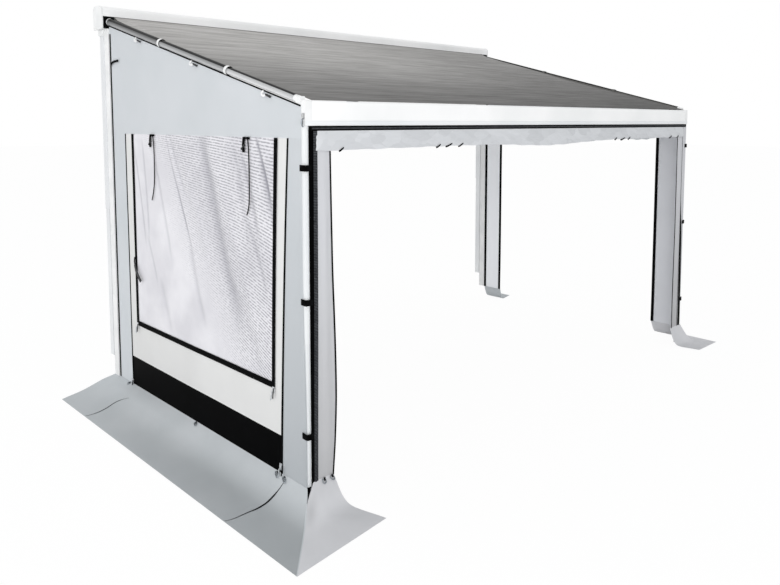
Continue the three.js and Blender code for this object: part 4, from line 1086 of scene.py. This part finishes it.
def makeRoll():
    c = rollSettings

    def place(across, along):
        x = mix(-c["half"], c["half"], across)
        y, z = rollSection(x, along * 2 * math.pi)
        return x, y, up(z)

    bm = clothGrid(c["stations"], c["around"], place, (4.08, 0.32))
    bmesh.ops.remove_doubles(bm, verts=bm.verts, dist=0.0002)
    rims = [edge for edge in bm.edges if edge.is_boundary]
    bmesh.ops.edgeloop_fill(bm, edges=rims)
    bmesh.ops.recalc_face_normals(bm, faces=bm.faces)
    piece = finishPiece(bm, "rolledFrontPanel", "greyCloth", "front_rail")
    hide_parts("front_roll")

    middle = Vector(((c["front"] + c["rear"]) / 2, c["top"] - c["drop"] / 2))
    for index, x in enumerate(c["ties"]):
        def loop(across, along):
            tieX = x + (across - 0.5) * c["tieWidth"]
            out = Vector(rollSection(tieX, along * 2 * math.pi)) - middle
            out *= 1 + 0.0016 / max(out.length, 0.01)
            return tieX, middle.x + out.x, up(middle.y + out.y)

        bm = clothGrid(3, 40, loop, (c["tieWidth"], 0.3))
        bmesh.ops.remove_doubles(bm, verts=bm.verts, dist=0.0001)
        finishPiece(bm, f"rollTie{index + 1}", "webbing", "front_rail", 0.0012)


makeRoll()
makeValance()


# Straps, hooks and pulls

legStraps = {"heights": {-1: [1.801, 1.118, 0.415], 1: [1.818, 1.122, 0.405]}, "tall": 0.032,
             "thick": 0.0016, "start": {-1: 2.116, 1: 2.104}}


def makeLegStraps():
    # Hook-and-loop straps sewn to the side walls; they reach around the legs and stay with the walls
    c = legStraps
    for side, sign in sides:
        for index, height in enumerate(c["heights"][sign]):
            points = [(c["start"][sign], -2.5065, height), (2.142, -2.5060, height),
                      (2.1585, -2.504, height), (2.1585, -2.480, height), (2.1560, -2.4585, height)]
            makeTape(f"legStrap{side}{index + 1}", mirrored(sign, points), (0, 0, 1), c["tall"],
                     c["thick"], rows=18)


def onWall(*spots):
    # Points on the left wall, from (y, height, lift off the cloth)
    return [Vector(wallPoint(-1, *spot)) for spot in spots]


def makeWindowStraps():
    # Toggle and cord that hold the rolled-up film; they hang loose here
    toggles = {"Rear": [(-0.853, 1.945), (-0.868, 1.86), (-0.864, 1.64), (-0.842, 1.56), (-0.820, 1.511)],
               "Front": [(-1.993, 1.945), (-2.003, 1.86), (-2.005, 1.60), (-1.992, 1.545), (-1.978, 1.520)]}
    for name, cord in toggles.items():
        y = cord[0][0] + 0.034
        makeTape(f"toggleBar{name}", onWall((y + 0.012, 1.944, 0.010), (y - 0.046, 1.944, 0.010)),
                 (0, 0, 1), 0.012, 0.006, rows=6)
        loop = onWall((y, 1.948, 0.008), (y + 0.003, 1.90, 0.012), (y + 0.002, 1.865, 0.010))
        makeTape(f"toggleLoop{name}", loop, (0, 1, 0), 0.020, 0.004, rows=10)
        makeRod(f"toggleCord{name}", onWall(*[(*spot, 0.010) for spot in cord]), 0.0036)
        makeRod(f"togglePeg{name}", onWall((y - 0.012, 1.906, 0.015), (y + 0.016, 1.882, 0.015)), 0.006,
                "nylon")


def makeZipPulls():
    # Cord pull on the rear window zip, and sliders at the zips' lower ends
    pull = onWall((-0.530, 1.035, 0.012), (-0.566, 0.990, 0.020), (-0.632, 0.930, 0.018))
    makeTape("windowZipPull", pull, (0, 0.72, -0.70), 0.024, 0.005, "nylon", rows=16)
    cord = onWall((-0.520, 1.085, 0.009), (-0.524, 1.055, 0.016), (-0.540, 1.020, 0.016))
    makeRod("windowZipPullCord", cord, 0.004)
    for name, y, z in (("WindowRear", -0.530, 0.600), ("WindowFront", -2.232, 0.590),
                       ("PanelRear", -0.414, 0.160), ("PanelFront", -2.356, 0.180)):
        slider = onWall((y, z + 0.016, 0.007), (y, z - 0.020, 0.010))
        makeTape(f"zipSlider{name}", slider, (0, 1, 0), 0.020, 0.005, "brightZinc", rows=6, ends=0.8)
        tongue = onWall((y + 0.004, z - 0.012, 0.015), (y + 0.006, z - 0.036, 0.017),
                        (y + 0.012, z - 0.058, 0.016))
        makeRod(f"zipTongue{name}", tongue, 0.0042, "brightZinc")
        cord = onWall((y - 0.010, z + 0.010, 0.011), (y - 0.014, z - 0.020, 0.016),
                      (y - 0.010, z - 0.046, 0.016))
        makeRod(f"zipCord{name}", cord, 0.003)


def makeGableHooks():
    # White clips that hold the wall's top edge to the rafter, each with a black toggle
    for index, y in enumerate((-0.650, -1.404, -2.165)):
        top = wallTop(y)
        clip = onWall((y + 0.020, top + 0.004, 0.004), (y + 0.022, top - 0.012, 0.016),
                      (y + 0.004, top - 0.026, 0.018), (y - 0.014, top - 0.018, 0.014))
        makeRod(f"wallClip{index + 1}", clip, 0.006, "moulded")
        toggle = onWall((y - 0.012, top - 0.016, 0.012), (y - 0.052, top - 0.030, 0.010))
        makeRod(f"wallClipToggle{index + 1}", toggle, 0.006, "nylon")
    makeTape("rearEdgeTie", onWall((-0.214, 2.432, 0.006), (-0.238, 2.458, 0.010), (-0.345, 2.463, 0.008)),
             (0, 0.3, 1), 0.016, 0.0016, rows=10)


# Rafter sleeves: y, radius, length and body
rafterSleeves = {"Rear": (-0.172, 0.0256, 0.012, "awning"), "Middle": (-0.9655, 0.0280, 0.026, "awning"),
                 "Front": (-1.7739, 0.0262, 0.026, "front_rail")}


# The black sheet of painted shadow in each cassette mouth
rafterMouthShadow = {"x": (2.104, 2.181), "y": -0.1608, "height": (2.7045, 2.7880), "corner": 0.006,
              "thickness": 0.0016}


def makeRafterTrim():
    # White sleeves over the rafters' joints and at their rear ends
    axis = Vector((0, math.cos(site["pitch"]), math.sin(site["pitch"])))
    for side, sign in sides:
        for name, (y, radius, length, body) in rafterSleeves.items():
            middle = Vector((sign * site["rafterX"], y, up(rafterHeight(y))))
            makeRing(f"rafterSleeve{name}{side}", middle, axis, radius, 0.0022, length, "sleeve", body)

        # Black sheet in the cassette's mouth around the rafter's rear end: painted shadow of the mouth
        def place(across, along):
            y = rafterMouthShadow["y"] + 0.0006 * math.sin(math.pi * across)
            return sign * mix(*rafterMouthShadow["x"], across), y, up(mix(*rafterMouthShadow["height"], along))

        bm = clothGrid(10, 10, place, (0.077, 0.083))
        corners = [vert for vert in bm.verts if len(vert.link_faces) == 1]
        bmesh.ops.bevel(bm, geom=corners, offset=rafterMouthShadow["corner"], affect="VERTICES", segments=3,
                        profile=0.5, material=-1)
        finishPiece(bm, f"rafterMouthShadow{side}", "webbing", thickness=rafterMouthShadow["thickness"])


railTrim = {
    "half": 2.1495, "foot": 2.0138, "head": 2.0370,
    "hook": [(2.1535, -2.4900, 2.048), (2.162, -2.4905, 2.043), (2.165, -2.4905, 2.027),
             (2.160, -2.4900, 2.012), (2.1535, -2.4880, 2.007)],
    "tab": [(2.1545, -2.4840, 2.040), (2.1575, -2.4870, 2.028), (2.1555, -2.4840, 2.014)],
}


def makeRailTrim():
    # Lower lip of the front rail, leaning in: a thin sheet in the greyer powder coat, painted shade along
    # the rail's foot; and the hook at the wall's corner outside each end
    c = railTrim

    def place(across, along):
        lean = mix(-2.5006, -2.5026, ease(along * 1.6)) + 0.0014 * ease((along - 0.8) * 5)
        return mix(-c["half"], c["half"], across), lean, up(mix(c["foot"], c["head"], along))

    finishPiece(clothGrid(4, 8, place, (2 * c["half"], c["head"] - c["foot"])), "railLipPaintedShade", "powderPaintedShade",
                "front_rail", 0.0008)
    for side, sign in sides:
        makeRod(f"cornerHook{side}", mirrored(sign, c["hook"]), 0.0034, "zinc")
        makeTape(f"cornerHookTab{side}", mirrored(sign, c["tab"]), (0, 1, 0), 0.010, 0.0020, rows=10)


makeLegStraps()
makeWindowStraps()
makeZipPulls()
makeGableHooks()
makeRafterTrim()
makeRailTrim()
print("front fabric is up")


# Skirts

skirtSettings = {
    "out": [0, 0.05, 0.1, 0.16, 0.24, 0.36, 0.6, 1], "down": [1, 0.76, 0.5, 0.28, 0.12, 0.03, 0, 0],
    "rampOut": [0, 0.10, 0.24, 0.38, 0.53, 0.69, 0.85, 1],
    "rampDown": [1, 0.92, 0.80, 0.63, 0.44, 0.26, 0.11, 0], "lift": 0.0016, "thickness": 0.0010,
}


def skirtProfile(share, ramp):
    # Out and down shares along one line of a skirt, from its hem (0) to its tip (1); ramp 1 is a
    # stiff straight fall, ramp 0 hangs down and then lies on the ground
    c = skirtSettings
    out = mix(curveAt(c["out"], share), curveAt(c["rampOut"], share), ramp)
    down = mix(curveAt(c["down"], share), curveAt(c["rampDown"], share), ramp)
    return out, max(down, 0.0)


def makeSkirt(name, node, corners, columns, rows, flat, seed, ramps=(0, 0), rise=0.0,
              lap=0.003, gore=0.0, follows=False, finish="skirtCloth", paintedShade=None):
    # corners: (hemX, hemY, tipX, tipY) from one end to the other. The hem laps over the cloth above
    # it, and its first corner is cut back by the gore. A skirt that follows joins no body, and its
    # transform is baked into its points.
    c = skirtSettings
    hem = site["hem"] + lap

    def place(across, along):
        spot = across * (len(corners) - 1)
        low = min(int(spot), len(corners) - 2)
        hemX, hemY, tipX, tipY = [mix(a, b, spot - low) for a, b in zip(corners[low], corners[low + 1])]
        out, down = skirtProfile(along, mix(*ramps, ease(across)))
        cut = gore * (1 - across) * ease(1 - along / 0.3)
        x, y = mix(hemX, tipX, out) + cut, mix(hemY, tipY, out)
        wave = softWave(across * 3.2 * flat[0], along * 3.0, seed) * 0.5 + 0.5
        flatLift = 0.007 * wave * ease((along - 0.55) / 0.3) * ease((1.0 - along) / 0.15 + 0.25)
        bend = 0.005 * softWave(across * 5.0 * flat[0], along * 2.0, seed + 1) * ease(along * 4) * down * 2
        return (x + bend * 0.4, y + bend * 0.4, up(c["lift"] + rise + c["thickness"] / 2
                + down * (hem - c["lift"]) + flatLift))

    bm = clothGrid(columns, rows, place, flat, paintedShade)
    piece = finishPiece(bm, name, finish, None if follows else "awning", c["thickness"])
    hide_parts(node)
    if follows:
        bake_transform(piece)
    return place


def leftSkirtPaintedShade(across, along):
    # Painted shade: darker outwards and towards the front corner
    outer, front = ease((along - 0.15) / 0.6), across
    return min(0.25 * outer + 0.16 * front + 0.20 * outer * front, 1.0)


def frontSkirtPaintedShade(across, along):
    # Painted shade: a soft grey hollow beside the corner, and a little grey above it
    hollow = math.exp(-((across - 0.10) / 0.15) ** 2 - ((along - 0.44) / 0.20) ** 2)
    return 0.06 + 0.18 * ease((0.45 - along) / 0.3) + 0.46 * hollow


def makeSkirts():
    left = makeSkirt("leftSkirtCloth", "left_skirt",
                     [(-2.1525, -0.118, -2.516, -0.002), (-2.1525, -2.4965, -2.500, -2.874)],
                     150, 36, (2.87, 0.46), 0.5, ramps=(1, 0.22),
                     paintedShade=leftSkirtPaintedShade)
    front = makeSkirt("frontSkirtClothLeft", "front_skirt_left",
                      [(-2.1495, -2.4995, -2.5000, -2.8750), (-1.985, -2.4998, -1.884, -2.803)],
                      40, 36, (0.62, 0.47), 2.5, ramps=(0.22, 0.12),
                      rise=0.0014, lap=0.028, gore=0.030, follows=True, finish="skirtFront",
                      paintedShade=frontSkirtPaintedShade)
    makeSkirt("frontSkirtClothRight", "front_skirt_right",
              [(1.945, -2.4998, 2.020, -2.740), (2.1495, -2.4995, 2.3665, -2.7475)],
              24, 30, (0.36, 0.36), 4.5, ramps=(0, 0.2), lap=0.026,
              follows=True, finish="skirtFront")
    makeSkirt("sideSkirtClothRight", "front_skirt_right",
              [(2.1525, -2.4965, 2.370, -2.750), (2.1525, -2.440, 2.380, -2.470),
               (2.1525, -2.216, 2.380, -2.235)],
              36, 30, (0.52, 0.33), 5.5, ramps=(0.2, 0.2),
              finish="skirtFront")
    makeSkirt("rearSkirtClothRight", "rear_skirt_right",
              [(2.1525, -0.414, 2.445, -0.330), (2.1525, -0.184, 2.445, -0.150)],
              24, 30, (0.25, 0.39), 6.5)
    return left, front


leftSkirtPlace, frontSkirtPlace = makeSkirts()


def onSkirt(across, along, lift=0.0014):
    return Vector(leftSkirtPlace(across, along)) + Vector((0, 0, lift))


slits = {
    "Rear": [(0.150, 0.99), (0.160, 0.90), (0.166, 0.78), (0.165, 0.64), (0.164, 0.55), (0.172, 0.45),
             (0.190, 0.35)],
    "Front": [(0.785, 0.99), (0.805, 0.93), (0.825, 0.86), (0.847, 0.76), (0.865, 0.64), (0.880, 0.50),
              (0.893, 0.37), (0.905, 0.25), (0.918, 0.10)],
}


def makeSkirtTrim():
    # Slits that let the skirt lie around pegs, each drawn as a thin black strip: painted shadow of the slit
    for name, path in slits.items():
        line = rounded([(*spot, 0) for spot in path])

        def place(across, along):
            spot = alongPath(line, along)
            width = 0.0022 * math.sin(math.pi * min(max(along, 0.02), 0.98)) ** 0.5
            if name == "Front":
                width *= 1 + ease((0.75 - abs(along - 0.45) * 2) / 0.5)
            return onSkirt(spot.x + (across - 0.5) * width, spot.y, 0.0016)

        finishPiece(clothGrid(2, 60, place, (0.006, 0.4)), f"skirtSlitPaintedShadow{name}", "blackCloth",
                    thickness=0.0006)
    # The corner between the left and the front skirt stays open for a hand's width below the hem, where a
    # black tape paints the shade in the opening; below that a tape joins the two
    away = Vector((0.010, -0.001, 0))
    cornerShade = [onSkirt(0.9990, along, 0.003) + away for along in (0, 0.10, 0.19, 0.27)]
    makeTape("skirtCornerPaintedShade", cornerShade, (0.97, -0.24, 0), 0.021, 0.0012, "blackCloth", rows=14,
             ends=0.10)
    away = Vector((-0.0006, -0.0014, 0))
    join = [onSkirt(1.0, along, 0.0012) + away for along in
            (0.24, 0.32, 0.40, 0.50, 0.60, 0.70, 0.80, 0.90, 0.995)]
    makeTape("skirtCornerJoin", join, (0.72, -0.69, 0), 0.009, 0.0010, "skirtCloth", rows=40)


makeSkirtTrim()


def makePegRings():
    # Elastic loops with steel rings along the hems, where the tent is pegged down
    kinds = {
        "left": {"place": leftSkirtPlace, "body": "awning", "wide": 0.0052, "tall": 0.038,
                 "away": Vector((-0.006, 0, 0.003)), "side": (0, 1, 0)},
        "front": {"place": frontSkirtPlace, "body": "front_rail", "wide": 0.070, "tall": 0.040,
                  "away": Vector((0, -0.006, 0.003)), "side": (1, 0, 0)},
    }
    spots = [("left", 0.112, 0.030), ("left", 0.517, 0.030), ("left", 0.888, 0.045),
             ("left", 0.917, 0.060), ("front", 0.51, 0.030), ("front", 0.88, 0.030)]
    for index, (name, across, along) in enumerate(spots):
        c = kinds[name]
        wide, tall = c["wide"], c["tall"]

        def on(a, b):
            return Vector(c["place"](a, max(b, 0.0))) + c["away"]

        loop = [on(across, along - 0.03), on(across, along + 0.02), on(across + wide * 0.3, along + tall)]
        makeTape(f"pegLoop{index + 1}", loop, c["side"], 0.010, 0.003, body=c["body"], rows=10)
        ring = []
        for step in range(17):
            turn = math.tau * (0.06 + 0.9 * step / 16)
            lean = wide * (0.5 * (1 - math.cos(turn)) - 0.6)
            ring.append(on(across + wide * math.sin(turn) + lean, along + tall * (1 - math.cos(turn))))
        makeRod(f"pegRing{index + 1}", ring, 0.0032, "zinc", c["body"])


makePegRings()
print("skirts are laid")
